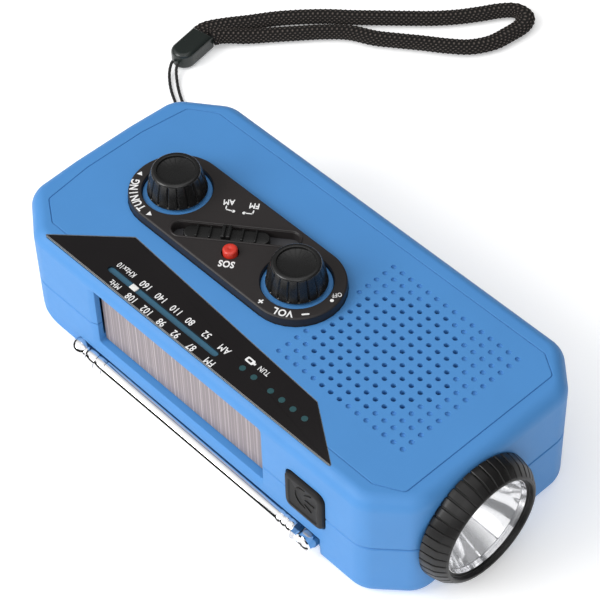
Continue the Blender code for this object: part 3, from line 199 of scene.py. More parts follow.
def rectangle(low, high, corner=0.0, steps=4):
    """A rectangular outline with rounded corners."""
    return rounded([low, (high[0], low[1]), high, (low[0], high[1])], corner, steps)


def square(centre, half, corner, steps=4):
    """A square outline about a centre."""
    return rectangle((centre[0] - half, centre[1] - half), (centre[0] + half, centre[1] + half), corner, steps)


def loft(shape, rings, cap_start=True, cap_end=True):
    """Skins rings of equal count, drawn anticlockwise from below, and closes the ends."""
    loops = [[shape.verts.new(point) for point in ring] for ring in rings]
    count = len(loops[0])
    for low, high in zip(loops, loops[1:]):
        for i in range(count):
            k = (i + 1) % count
            shape.faces.new((low[i], low[k], high[k], high[i]))
    if cap_start:
        shape.faces.new(loops[0][::-1])
    if cap_end:
        shape.faces.new(loops[-1])
    return loops


def slab(shape, outline, low, high, edge=0.0, base=0.0, steps=4):
    """A plate with a rounded upper edge and, with base, a rounded lower edge."""
    levels = []
    if base:
        levels += [(base * (1 - math.sin(math.pi / 2 * k / steps)),
                    low + base * (1 - math.cos(math.pi / 2 * k / steps))) for k in range(steps)]
    levels.append((0, low + base))
    levels.append((0, high - edge))
    if edge:
        levels += [(edge * (1 - math.cos(math.pi / 2 * k / steps)),
                    high - edge * (1 - math.sin(math.pi / 2 * k / steps))) for k in range(1, steps + 1)]
    loft(shape, [[(x, y, z) for x, y in offset(outline, inset)] for inset, z in levels])


def lathe(shape, profile, centre, segments=64, axis="Z", swell=None):
    """A turned body. The profile is (radius, height) from the bottom of the outside upwards.
    swell changes a radius with the angle, for flutes and grips."""
    place = Matrix.Translation(centre)
    if axis == "X":
        place = place @ Matrix.Rotation(math.pi / 2, 4, "Y")
    if axis == "Y":
        place = place @ Matrix.Rotation(-math.pi / 2, 4, "X")
    rings = []
    for radius, height in profile:
        ring = []
        for k in range(segments):
            angle = math.tau * k / segments
            r = radius * (swell(angle, radius, height) if swell else 1)
            ring.append(place @ Vector((r * math.cos(angle), r * math.sin(angle), height)))
        rings.append(ring)
    closed = profile[0] == profile[-1]
    before = len(shape.verts)
    loft(shape, rings, not closed, not closed)
    shape.verts.ensure_lookup_table()
    bmesh.ops.remove_doubles(shape, verts=shape.verts[before:], dist=0.0005)


def block(shape, low, high):
    """A plain box between two corners."""
    size = Matrix.Diagonal((high[0] - low[0], high[1] - low[1], high[2] - low[2], 1))
    middle = (Vector(low) + Vector(high)) / 2
    bmesh.ops.create_cube(shape, size=1, matrix=Matrix.Translation(middle) @ size)


def smooth_route(route, count):
    """Points at even steps of a smooth curve through the route."""
    knots = [Vector(p) for p in route]
    ends = [knots[0] * 2 - knots[1], *knots, knots[-1] * 2 - knots[-2]]
    points = []
    for k in range(count):
        along = k / (count - 1) * (len(knots) - 1)
        i = min(int(along), len(knots) - 2)
        t = along - i
        a, b, c, d = ends[i:i + 4]
        points.append(((b * 2) + (c - a) * t + (a * 2 - b * 5 + c * 4 - d) * t ** 2
                       + (b * 3 - a - c * 3 + d) * t ** 3) / 2)
    return points


def mesh_of(shape, name, sharp=32):
    """Turns a bmesh drawn in millimetres into a mesh in the row's frame."""
    shape.transform(Matrix.Translation(CENTRE) @ Matrix.Diagonal((MM, MM, MM, 1)))
    mesh = bpy.data.meshes.new(name)
    shape.to_mesh(mesh)
    shape.free()
    mesh.shade_smooth()
    mesh.set_sharp_from_angle(angle=math.radians(sharp))
    return mesh


def drawn(name, draw, sharp=32):
    """An object, at the origin, of what draw puts into a bmesh."""
    shape = bmesh.new()
    draw(shape)
    bmesh.ops.recalc_face_normals(shape, faces=shape.faces)
    made = bpy.data.objects.new(name, mesh_of(shape, name, sharp))
    bpy.context.scene.collection.objects.link(made)
    return made


def settle(made, sharp=None):
    """Applies an object's modifiers, so that it is a plain mesh."""
    graph = bpy.context.evaluated_depsgraph_get()
    mesh = bpy.data.meshes.new_from_object(made.evaluated_get(graph))
    made.modifiers.clear()
    old, made.data = made.data, mesh
    bpy.data.meshes.remove(old)
    mesh.name = made.name
    if sharp:
        mesh.shade_smooth()
        mesh.set_sharp_from_angle(angle=math.radians(sharp))
    return made


def carve(made, cutters, sharp=32):
    """Cuts a list of objects out of one, removes them, and evens the shading of its flats."""
    box = bpy.data.collections.new(made.name + "_cutters")
    bpy.context.scene.collection.children.link(box)
    for cutter in cutters:
        box.objects.link(cutter)
    cut = made.modifiers.new("cut", "BOOLEAN")
    cut.operation = "DIFFERENCE"
    cut.solver = "EXACT"
    cut.operand_type = "COLLECTION"
    cut.collection = box
    settle(made, sharp)
    even = made.modifiers.new("even", "WEIGHTED_NORMAL")
    even.weight = 90
    even.keep_sharp = True
    settle(made)
    for cutter in cutters:
        bpy.data.objects.remove(cutter)
    bpy.data.collections.remove(box)
    return made


def place(made, body, look, *nodes, slot=None):
    """Gives a finished piece its material, its body, its slot and the CAD nodes it stands for."""
    if look:
        made.data.materials.clear()
        made.data.materials.append(look)
    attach(made, body)
    if nodes:
        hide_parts(*nodes)
    return made


# ---------------------------------------------------------------- node trees for repeats

def repeat_tree(name, layout):
    """A tree that sets a template on points and ends in one mesh. layout is RING or GRID."""
    tree = bpy.data.node_groups.get(name)
    if tree:
        return tree
    tree = bpy.data.node_groups.new(name, "GeometryNodeTree")
    face = tree.interface
    face.new_socket("Geometry", in_out="OUTPUT", socket_type="NodeSocketGeometry")
    face.new_socket("Template", in_out="INPUT", socket_type="NodeSocketObject")
    face.new_socket("Finish", in_out="INPUT", socket_type="NodeSocketMaterial")
    if layout == "RING":
        sizes = (("Count", "NodeSocketInt"), ("Centre", "NodeSocketVector"), ("Tilt", "NodeSocketVector"))
    else:
        sizes = (("Columns", "NodeSocketInt"), ("Rows", "NodeSocketInt"), ("Pitch", "NodeSocketFloat"),
                 ("Centre", "NodeSocketVector"), ("Middle", "NodeSocketVector"), ("Inner", "NodeSocketFloat"),
                 ("Outer", "NodeSocketFloat"), ("Avoid", "NodeSocketVector"), ("Clear", "NodeSocketFloat"))
    for label, kind in sizes:
        face.new_socket(label, in_out="INPUT", socket_type=kind)
    nodes, link = tree.nodes, tree.links.new
    given = nodes.new("NodeGroupInput").outputs
    template = nodes.new("GeometryNodeObjectInfo")
    link(given["Template"], template.inputs["Object"])
    spots = nodes.new("GeometryNodeInstanceOnPoints")
    link(template.outputs["Geometry"], spots.inputs["Instance"])
    if layout == "RING":
        points = nodes.new("GeometryNodePoints")
        link(given["Count"], points.inputs["Count"])
        index = nodes.new("GeometryNodeInputIndex")
        share = nodes.new("ShaderNodeMath")
        share.operation = "DIVIDE"
        link(index.outputs[0], share.inputs[0])
        link(given["Count"], share.inputs[1])
        turn = nodes.new("ShaderNodeMath")
        turn.operation = "MULTIPLY"
        turn.inputs[1].default_value = math.tau
        link(share.outputs[0], turn.inputs[0])
        spin = nodes.new("ShaderNodeCombineXYZ")
        link(turn.outputs[0], spin.inputs[2])
        link(points.outputs[0], spots.inputs["Points"])
        link(spin.outputs[0], spots.inputs["Rotation"])
        placed = nodes.new("GeometryNodeTransform")
        link(spots.outputs[0], placed.inputs["Geometry"])
        link(given["Centre"], placed.inputs["Translation"])
        link(given["Tilt"], placed.inputs["Rotation"])
        last = placed.outputs[0]
    else:
        grid = nodes.new("GeometryNodeMeshGrid")
        for side, label in (("X", "Columns"), ("Y", "Rows")):
            gaps = nodes.new("ShaderNodeMath")
            gaps.operation = "SUBTRACT"
            gaps.inputs[1].default_value = 1
            link(given[label], gaps.inputs[0])
            size = nodes.new("ShaderNodeMath")
            size.operation = "MULTIPLY"
            link(gaps.outputs[0], size.inputs[0])
            link(given["Pitch"], size.inputs[1])
            link(size.outputs[0], grid.inputs["Size " + side])
            link(given[label], grid.inputs["Vertices " + side])
        moved = nodes.new("GeometryNodeTransform")
        link(grid.outputs["Mesh"], moved.inputs["Geometry"])
        link(given["Centre"], moved.inputs["Translation"])
        spot = nodes.new("GeometryNodeInputPosition")
        away = nodes.new("ShaderNodeVectorMath")
        away.operation = "DISTANCE"
        link(spot.outputs[0], away.inputs[0])
        link(given["Middle"], away.inputs[1])
        beside = nodes.new("ShaderNodeVectorMath")
        beside.operation = "DISTANCE"
        link(spot.outputs[0], beside.inputs[0])
        link(given["Avoid"], beside.inputs[1])
        kept = None
        for distance, operation, label in ((away, "GREATER_THAN", "Inner"), (away, "LESS_THAN", "Outer"),
                                           (beside, "GREATER_THAN", "Clear")):
            test = nodes.new("ShaderNodeMath")
            test.operation = operation
            link(distance.outputs["Value"], test.inputs[0])
            link(given[label], test.inputs[1])
            if kept:
                both = nodes.new("ShaderNodeMath")
                both.operation = "MULTIPLY"
                link(kept.outputs[0], both.inputs[0])
                link(test.outputs[0], both.inputs[1])
                test = both
            kept = test
        link(moved.outputs[0], spots.inputs["Points"])
        link(kept.outputs[0], spots.inputs["Selection"])
        last = spots.outputs[0]
    real = nodes.new("GeometryNodeRealizeInstances")
    link(last, real.inputs[0])
    coat = nodes.new("GeometryNodeSetMaterial")
    link(real.outputs[0], coat.inputs["Geometry"])
    link(given["Finish"], coat.inputs["Material"])
    out = nodes.new("NodeGroupOutput")
    link(coat.outputs[0], out.inputs[0])
    return tree


def repeated(name, layout, template, look=None, **sizes):
    """The mesh object that a repeat tree makes of a template, which is removed."""
    holder = bpy.data.objects.new(name, bpy.data.meshes.new(name))
    bpy.context.scene.collection.objects.link(holder)
    step = holder.modifiers.new("repeat", "NODES")
    step.node_group = repeat_tree("repeat_" + layout.lower(), layout)
    values = {"Template": template, "Finish": look, **sizes}
    for socket in step.node_group.interface.items_tree:
        if socket.in_out == "INPUT" and values.get(socket.name) is not None:
            step[socket.identifier] = values[socket.name]
    settle(holder, 32)
    bpy.data.objects.remove(template)
    return holder


def local(name, draw, sharp=32):
    """A template drawn about its own origin, in millimetres, for a repeat tree."""
    shape = bmesh.new()
    draw(shape)
    bmesh.ops.recalc_face_normals(shape, faces=shape.faces)
    shape.transform(Matrix.Diagonal((MM, MM, MM, 1)))
    mesh = bpy.data.meshes.new(name)
    shape.to_mesh(mesh)
    shape.free()
    made = bpy.data.objects.new(name, mesh)
    bpy.context.scene.collection.objects.link(made)
    return made


def joined(first, *others):
    """One object of several, each already in place."""
    shape = bmesh.new()
    for made in (first, *others):
        shape.from_mesh(made.data)
    shape.to_mesh(first.data)
    shape.free()
    for made in others:
        bpy.data.objects.remove(made)
    first.data.shade_smooth()
    first.data.set_sharp_from_angle(angle=math.radians(32))
    return first


# ---------------------------------------------------------------- materials

class Amount:
    """A number that varies over a surface; sums on it add the Math nodes."""

    def __init__(self, look, socket):
        self.look, self.socket = look, socket

    def _with(self, operation, other, flipped=False):
        pair = (other, self) if flipped else (self, other)
        return self.look.maths(operation, *pair)

    def __add__(self, other):
        return self._with("ADD", other)

    def __sub__(self, other):
        return self._with("SUBTRACT", other)

    def __rsub__(self, other):
        return self._with("SUBTRACT", other, True)

    def __mul__(self, other):
        return self._with("MULTIPLY", other)

    def __truediv__(self, other):
        return self._with("DIVIDE", other)

    def __pow__(self, other):
        return self._with("POWER", other)

    def __mod__(self, other):
        return self._with("FLOORED_MODULO", other)

    def over(self, limit):
        return self._with("GREATER_THAN", limit)

    def clamped(self):
        return self.look.maths("MINIMUM", self.look.maths("MAXIMUM", self, 0.0), 1.0)

    __radd__ = __add__
    __rmul__ = __mul__


class Look:
    """A material with one Principled shader and the nodes that feed it."""

    def __init__(self, name, colour, roughness, **plain):
        self.material = bpy.data.materials.new(name)
        self.material.use_nodes = True
        self.nodes = self.material.node_tree.nodes
        self.links = self.material.node_tree.links
        self.shader = self.nodes["Principled BSDF"]
        self.colour = colour
        self.set("Base Color", (*colour, 1))
        self.set("Roughness", roughness)
        for socket, value in plain.items():
            self.set(socket.replace("_", " ").title().replace("Ior", "IOR"), value)
        self.place = self.node("ShaderNodeTexCoord").outputs["Object"]

    def set(self, socket, value):
        self.put(self.shader.inputs[socket], value)

    def put(self, socket, value):
        if isinstance(value, Amount):
            value = value.socket
        if isinstance(value, bpy.types.NodeSocket):
            self.links.new(value, socket)
        else:
            socket.default_value = value

    def node(self, kind, settings=None, values=None):
        made = self.nodes.new(kind)
        for key, value in (settings or {}).items():
            setattr(made, key, value)
        for key, value in (values or {}).items():
            self.put(made.inputs[key], value)
        return made

    def maths(self, operation, *values):
        made = self.node("ShaderNodeMath", {"operation": operation}, dict(enumerate(values)))
        return Amount(self, made.outputs[0])

    def axis(self, letter):
        made = self.node("ShaderNodeSeparateXYZ", None, {0: self.place})
        return Amount(self, made.outputs["XYZ".index(letter)])

    def grain(self, size, detail=3.0, stretch=None):
        """Noise with cells of about size millimetres, from 0 to 1."""
        place = self.place
        if stretch:
            place = self.node("ShaderNodeMapping", None, {0: place, 3: stretch}).outputs[0]
        made = self.node("ShaderNodeTexNoise", None, {"Vector": place, "Scale": 1 / (size * MM), "Detail": detail})
        return Amount(self, made.outputs[0])

    def mix(self, share, first, second):
        made = self.node("ShaderNodeMix", {"data_type": "RGBA"}, {0: share, 6: first, 7: second})
        return made.outputs[2]

    def tone(self, amount, share):
        """Varies the colour from (1 - share) to (1 + share) of itself."""
        low = tuple(c * (1 - share) for c in self.colour) + (1,)
        high = tuple(min(1, c * (1 + share)) for c in self.colour) + (1,)
        self.set("Base Color", self.mix(amount, low, high))

    def bump(self, height, depth, soften=None):
        """A bump of depth millimetres; soften rounds the edges by that many millimetres."""
        values = {"Height": height, "Distance": depth * MM, "Strength": 1.0}
        if soften:
            values["Normal"] = self.node("ShaderNodeBevel", {"samples": 4}, {"Radius": soften * MM}).outputs[0]
        self.set("Normal", self.node("ShaderNodeBump", None, values).outputs[0])


LOOKS = {}


def moulded(name, colour, roughness, grain=0.25, depth=0.012, tone=0.05, soften=0.12, **plain):
    """Moulded plastic or rubber: a fine grain, slight mottling and softened edges."""
    look = Look(name, colour, roughness, **plain)
    cells = look.grain(grain)
    look.tone(look.grain(9, 2), tone)
    look.set("Roughness", (look.grain(2.5) - 0.5) * 0.12 + roughness)
    look.bump(cells, depth, soften)
    return look.material


def metal(name, colour, roughness, stretch=(1, 1, 1), streak=0.08):
    """Metal with drawn or brushed streaks."""
    look = Look(name, colour, roughness, metallic=1.0)
    streaks = look.grain(0.5, 4, stretch)
    look.set("Roughness", (streaks - 0.5) * streak + roughness)
    look.tone(streaks, 0.06)
    return look.material


def solar_look():
    """Amorphous cell: grey-mauve with thin pale contact lines at uneven steps."""
    look = Look("solar_film", (0.26, 0.22, 0.225), 0.42, specular_ior_level=0.3)
    along = look.axis("X") / MM
    sway = look.grain(9.0, 1, (1, 1, 0.05)) * 1.2
    fine = ((along + sway) % 1.15).over(0.98)
    broad = ((along + sway + 0.4) % 2.9).over(2.62)
    cells = ((along + 1.0) % 7.6).over(7.38)
    shade = look.grain(1.1, 2, (1, 1, 0.05))
    base = look.mix(shade, (0.225, 0.192, 0.20, 1), (0.265, 0.228, 0.235, 1))
    lined = look.mix((fine * 0.45 + broad * 0.6).clamped(), base, (0.47, 0.41, 0.42, 1))
    look.set("Base Color", look.mix(cells * 0.5, lined, (0.5, 0.44, 0.43, 1)))
    look.bump(fine, 0.02)
    return look.material


def braid_look():
    """Black braid whose proud threads carry a row of light specks."""
    look = Look("strap_braid", (0.016, 0.014, 0.013), 0.75, specular_ior_level=0.25)
    height = look.node("ShaderNodeAttribute", {"attribute_name": "thread"})
    proud = Amount(look, height.outputs["Fac"])
    # Painted highlight: lighter colour on the proudest parts of the threads, broken up by noise.
    painted_glint = (proud - 0.6).clamped() * 3.0
    look.set("Base Color", look.mix((painted_glint * (look.grain(0.5, 2) + 0.3)).clamped(), (0.009, 0.008, 0.0075, 1),
                                    (0.15, 0.125, 0.11, 1)))
    look.bump(look.grain(0.12, 4), 0.03)
    return look.material


def lens_look():
    """Clear plastic, thin enough to see through."""
    look = Look("lens_clear", (0.95, 0.97, 1.0), 0.03, alpha=0.13)
    look.set("Roughness", look.grain(4) * 0.03 + 0.01)
    look.material.surface_render_method = "BLENDED"
    return look.material


def print_look():
    """White ink."""
    look = Look("print_white", (0.86, 0.86, 0.86), 0.45)
    look.tone(look.grain(0.4), 0.06)
    return look.material


def window_look():
    """Smoked glossy dial with a fine moulded orange-peel."""
    look = Look("dial_gloss", (0.008, 0.0065, 0.007), 0.09)
    look.tone(look.grain(12, 2), 0.25)
    look.bump(look.grain(3.5, 1), 0.004)
    return look.material


def make_looks(colours):
    """Every finish of the radio, made once."""
    blue, charcoal, red = (tuple(c) for c in (colours.case_blue, colours.panel, colours.button_red))
    LOOKS.update(
        case=moulded("case_rubber_paint", blue, 0.5, 0.22, 0.008, 0.035, 0.22, specular_ior_level=0.35),
        cover=moulded("cover_rubber", tuple(c * 0.93 for c in blue), 0.6, 0.3, 0.02),
        panel=moulded("panel_charcoal", charcoal, 0.42, 0.18, 0.01, 0.08, 0.1, specular_ior_level=0.35),
        knob=moulded("knob_black", (0.009, 0.009, 0.009), 0.26, 0.3, 0.006, 0.1, 0.06),
        ring=moulded("ring_black", (0.006, 0.0055, 0.0055), 0.36, 0.25, 0.01, 0.1, 0.1, specular_ior_level=0.4),
        rubber=moulded("button_rubber", (0.0075, 0.0068, 0.0065), 0.55, 0.2, 0.02, 0.1, 0.15, specular_ior_level=0.25),
        red=moulded("button_red", red, 0.35, 0.2, 0.006, 0.06, 0.1, coat_weight=0.3),
        white=moulded("white_plastic", (0.78, 0.78, 0.76), 0.4, 0.3, 0.005),
        teal=moulded("dial_teal", (0.032, 0.115, 0.185), 0.5, 0.5, 0.004, 0.15),
        lamp_off=moulded("indicator_teal", (0.018, 0.075, 0.085), 0.3, 0.5, 0.003, 0.2),
        # Light grey of the thin ring round the dial: a painted highlight on the dial's edge.
        edge=moulded("dial_edge", (0.22, 0.24, 0.25), 0.25, 0.5, 0.003),
        gear=moulded("gear_nylon", (0.7, 0.7, 0.66), 0.45, 0.4, 0.01),
        board=moulded("board_green", (0.02, 0.13, 0.05), 0.4, 0.6, 0.02, 0.2),
        dark=moulded("switch_grey", (0.05, 0.05, 0.055), 0.5),
        cream=moulded("capacitor_cream", (0.5, 0.45, 0.35), 0.5),
        wrap=moulded("battery_wrap", (0.03, 0.15, 0.08), 0.3),
        ferrite=moulded("ferrite_black", (0.02, 0.02, 0.02), 0.6, 0.15, 0.03),
        cone=moulded("cone_paper", (0.012, 0.012, 0.013), 0.85, 0.25, 0.05),
        sleeve=moulded("strap_sleeve", (0.012, 0.017, 0.015), 0.26, 0.6, 0.006, 0.2),
        cord=moulded("string_black", (0.008, 0.008, 0.008), 0.6, 0.12, 0.03),
        led=moulded("led_cap", (0.75, 0.72, 0.45), 0.15, 0.5, 0.003),
        chrome=metal("chrome", (0.80, 0.80, 0.81), 0.05, (0.03, 1, 1), 0.03),
        mirror=metal("reflector_silver", (0.93, 0.93, 0.95), 0.12, (1, 1, 1), 0.06),
        steel=metal("steel", (0.52, 0.52, 0.54), 0.3, (1, 1, 0.1)),
        copper=metal("coil_wire", (0.62, 0.30, 0.13), 0.3, (1, 0.05, 1)),
        solar=solar_look(), braid=braid_look(), lens=lens_look(), print=print_look(), window=window_look(),
    )


# ---------------------------------------------------------------- lettering

def glyphs(shape, text, x, y, z, size, turn=READ, bold=0.035, narrow=0.86):
    """Lettering as thin flat solids, centred on a point, added to a bmesh in millimetres."""
    curve = bpy.data.curves.new("lettering", "FONT")
    curve.body = text
    curve.size = size
    curve.offset = bold * size / 2
    curve.space_character = 1.06
    curve.extrude = 0.012
    curve.resolution_u = 4
    curve.align_x = "CENTER"
    curve.align_y = "CENTER"
    holder = bpy.data.objects.new("lettering", curve)
    bpy.context.scene.collection.objects.link(holder)
    graph = bpy.context.evaluated_depsgraph_get()
    mesh = bpy.data.meshes.new_from_object(holder.evaluated_get(graph))
    mesh.transform(Matrix.Translation((x, y, z)) @ Matrix.Rotation(turn, 4, "Z")
                   @ Matrix.Diagonal((narrow, 1, 1, 1)))
    shape.from_mesh(mesh)
    bpy.data.objects.remove(holder)
    bpy.data.meshes.remove(mesh)


def arc_glyphs(shape, text, centre, radius, z, size, middle, step):
    """Letters one by one round a knob, with their heads outwards, read clockwise."""
    for i, letter in enumerate(text):
        angle = middle - step * (i - (len(text) - 1) / 2)
        spot = (centre[0] + radius * math.cos(angle), centre[1] + radius * math.sin(angle))
        glyphs(shape, letter, *spot, z, size, angle - math.pi / 2, 0.05)


def lettered(name, body, slot, draw):
    """A printed piece that rides on a body."""
    shape = bmesh.new()
    draw(shape)
    made = bpy.data.objects.new(name, mesh_of(shape, name))
    bpy.context.scene.collection.objects.link(made)
    return place(made, body, LOOKS["print"], slot=slot)


# ---------------------------------------------------------------- case

def window_cutters():
    """Solar window with its sloping rim, torch button, torch neck and the ports' recess."""
    def rim(shape):
        outer, inner = (-31.6, 8.6, 23.4, 27.9), (-30.0, 10.3, 22.4, 27.0)
        rings = []
        for y, t in ((-HALF_WIDTH - 1, 1 + 1 / 0.7), (-HALF_WIDTH + 0.7, 0.0), (-HALF_WIDTH + 3.2, 0.0)):
            x0, z0, x1, z1 = (i + (o - i) * t for o, i in zip(outer, inner))
            outline = rectangle((x0, z0), (x1, z1), 0.7 + 0.5 * t)
            rings.append([(x, y, z) for x, z in outline])
        loft(shape, rings)

    def key(shape):
        outline = square(TORCH_KEY, KEY_HALF + 0.25, 1.9)
        loft(shape, [[(x, y, z) for x, z in outline] for y in (-HALF_WIDTH - 1, -HALF_WIDTH + 3)])

    def neck(shape):
        lathe(shape, [(12.15, -7), (12.15, 2)], (HALF_LENGTH, *TORCH), 96, "X")

    def recess(shape):
        outline = rectangle((-13, 8.6), (13, 23.4), 0.8)
        loft(shape, [[(x, y, z) for y, z in outline] for x in (-HALF_LENGTH - 2, -HALF_LENGTH + 1.2)])

    def mouth(shape):
        outline = rectangle((-11.6, 10), (11.6, 22), 0.6)
        loft(shape, [[(x, y, z) for y, z in outline] for x in (-HALF_LENGTH - 2, -HALF_LENGTH + 3)])

    return [drawn(name, draw) for name, draw in
            (("rim", rim), ("key", key), ("neck", neck), ("recess", recess), ("mouth", mouth))]


def case_half(name, levels):
    """A half of the case as a shell of outlines at (inset, height)."""
    def draw(shape):
        loft(shape, [[(x, y, z) for x, y in case_outline(inset)] for inset, z in levels])
    return drawn(name, draw, 40)


def rim_levels(radius, steps=8):
    """(inset, height) pairs of a rounded edge, from its foot up."""
    return [(radius * (1 - math.cos(math.pi / 2 * k / steps)), radius * (1 - math.sin(math.pi / 2 * k / steps)))
            for k in range(steps + 1)]


def groove_outline():
    """The fine line let into the face, a little inside its edge."""
    return rounded([(56.1, -21), (56.1, 21), (51, 24.2), (-48.5, 24.2), (-54.6, 20.2), (-56.1, 8),
                    (-56.1, -8), (-54.6, -20.2), (-48.5, -24.2), (50, -24.2)], 1.2, 4)


def grille_cutters():
    """Open holes inside a circle, and shallow dimples on the rest of the rectangle."""
    middle = at(*SPEAKER, 0)
    centre = at(SPEAKER[0] + HOLE_PITCH, SPEAKER[1] + 0.5 * HOLE_PITCH, 0)
    shared = {"Columns": 15, "Rows": 14, "Pitch": HOLE_PITCH * MM, "Centre": centre, "Middle": middle,
              "Avoid": at(*VOLUME, 0), "Clear": 11.7 * MM}
    hole = local("hole", lambda s: lathe(s, [(0.56, FACE_Z - 4), (0.56, FACE_Z - 0.12), (0.72, FACE_Z + 0.3)],
                                         (0, 0, 0), 12))
    dimple = local("dimple", lambda s: lathe(s, [(0.4, FACE_Z - 0.5), (0.55, FACE_Z - 0.4), (0.6, FACE_Z + 0.1),
                                                 (0.62, FACE_Z + 0.4)], (0, 0, 0), 12))
    reach = 6.2 * HOLE_PITCH * MM
    return [repeated("grille_holes", "GRID", hole, Inner=-1.0, Outer=reach, **shared),
            repeated("grille_dimples", "GRID", dimple, Inner=reach, Outer=1.0, **shared)]


def build_front_case():
    """The upper half, with its grille, grooves, windows and the seats of the controls."""
    fillet = rim_levels(RIM_RADIUS)
    levels = [(0.3, SEAM_Z + 0.1), (0, SEAM_Z + 0.35), *[(inset, FACE_Z - up) for inset, up in fillet]]
    case = case_half("front_shell", levels)

    def hollow(shape):
        loft(shape, [[(x, y, z) for x, y in case_outline(WALL)] for z in (SEAM_Z - 1, FACE_Z - 2.2)])

    def pocket(shape):
        loft(shape, [[(x, y, z) for x, y in offset(rounded(DIAL, 0.3), -0.1)] for z in (FACE_Z - 1.2, FACE_Z + 1)])

    def panel_seat(shape):
        loft(shape, [[(x, y, z) for x, y in stadium(SLOT_CENTRE, 59.7, 21.8)] for z in (FACE_Z - 1, FACE_Z + 1)])

    def groove(shape):
        outer, inner = offset(groove_outline(), -0.2), offset(groove_outline(), 0.2)
        deep = groove_outline()
        loops = [[shape.verts.new((x, y, z)) for x, y in line]
                 for line, z in ((outer, FACE_Z + 0.2), (inner, FACE_Z + 0.2), (deep, FACE_Z - 0.3))]
        count = len(deep)
        for a, b in ((0, 1), (1, 2), (2, 0)):
            for i in range(count):
                k = (i + 1) % count
                shape.faces.new((loops[a][i], loops[a][k], loops[b][k], loops[b][i]))

    def track(shape):
        loft(shape, [[(x, y, z) for x, y in stadium(STRIP_MIDDLE, 35, 2.4)]
                     for z in (FACE_Z - 4, FACE_Z - 1)])

    def shafts(shape):
        for x, y in (TUNING, VOLUME):
            lathe(shape, [(3.3, FACE_Z - 4), (3.3, FACE_Z + 1)], (x, y, 0), 32)
        lathe(shape, [(2.0, FACE_Z - 4), (2.0, FACE_Z + 1)], (*SOS, 0), 24)

    def stem(shape):
        outline = stadium((SLOT_CENTRE[0] - 0.5, SLOT_CENTRE[1] - 0.4), 13, 2.6, SLOT_ANGLE)
        loft(shape, [[(x, y, z) for x, y in outline] for z in (FACE_Z - 4, FACE_Z)])

    cutters = [drawn(draw.__name__, draw) for draw in (hollow, pocket, panel_seat, groove, track, shafts, stem)]
    carve(case, cutters + grille_cutters() + window_cutters())
    place(case, "radio", LOOKS["case"], "front_case", slot="case_blue")

    def collars(shape):
        profile = [(5.0, FACE_Z - 1), (7.72, FACE_Z - 1), (7.72, PANEL_Z - 1.2), (7.6, PANEL_Z - 1.0),
                   (7.4, PANEL_Z - 0.95), (3.4, PANEL_Z - 0.95), (3.4, FACE_Z - 1), (5.0, FACE_Z - 1)]
        for x, y in (TUNING, VOLUME):
            lathe(shape, profile, (x, y, 0), 72)

    place(drawn("knob_collars", collars), "radio", LOOKS["case"], slot="case_blue")


def build_rear_case():
    """The lower half, with the crank's pocket, the antenna's rebate and the strap's notch."""
    levels = list(reversed(rim_levels(RIM_RADIUS))) + [(0, SEAM_Z - 0.35), (0.3, SEAM_Z - 0.1)]
    case = case_half("rear_shell", levels)

    def hollow(shape):
        loft(shape, [[(x, y, z) for x, y in case_outline(WALL)] for z in (SEAM_Z - 4, SEAM_Z + 1)])

    def pocket(shape):
        lathe(shape, [(24.8, -1), (24.8, 11)], (*CRANK, 0), 128)
        lathe(shape, [(25.6, -1), (24.8, 0.5)], (*CRANK, 0), 128)

    def rebate(shape):
        block(shape, (-HALF_LENGTH - 5, -HALF_WIDTH - 5, -1), (40, -27.0, 7.4))

    def fork_seat(shape):
        lathe(shape, [(1.8, -2), (1.8, 3)], (PIVOT_X, -27.0, ANTENNA_Z), 24, "Y")

    def notch(shape):
        lathe(shape, [(4.2, 5), (4.2, 11)], (*NOTCH, 0), 48)

    def screws(shape):
        for x in (-SCREWS[0], SCREWS[0]):
            for y in (-SCREWS[1], SCREWS[1]):
                lathe(shape, [(2.9, -1), (2.9, 4.3)], (x, y, 0), 32)

    names = (hollow, pocket, rebate, fork_seat, notch, screws)
    carve(case, [drawn(draw.__name__, draw) for draw in names] + window_cutters())
    place(case, "radio", LOOKS["case"], "rear_case", slot="case_blue")


# ---------------------------------------------------------------- controls

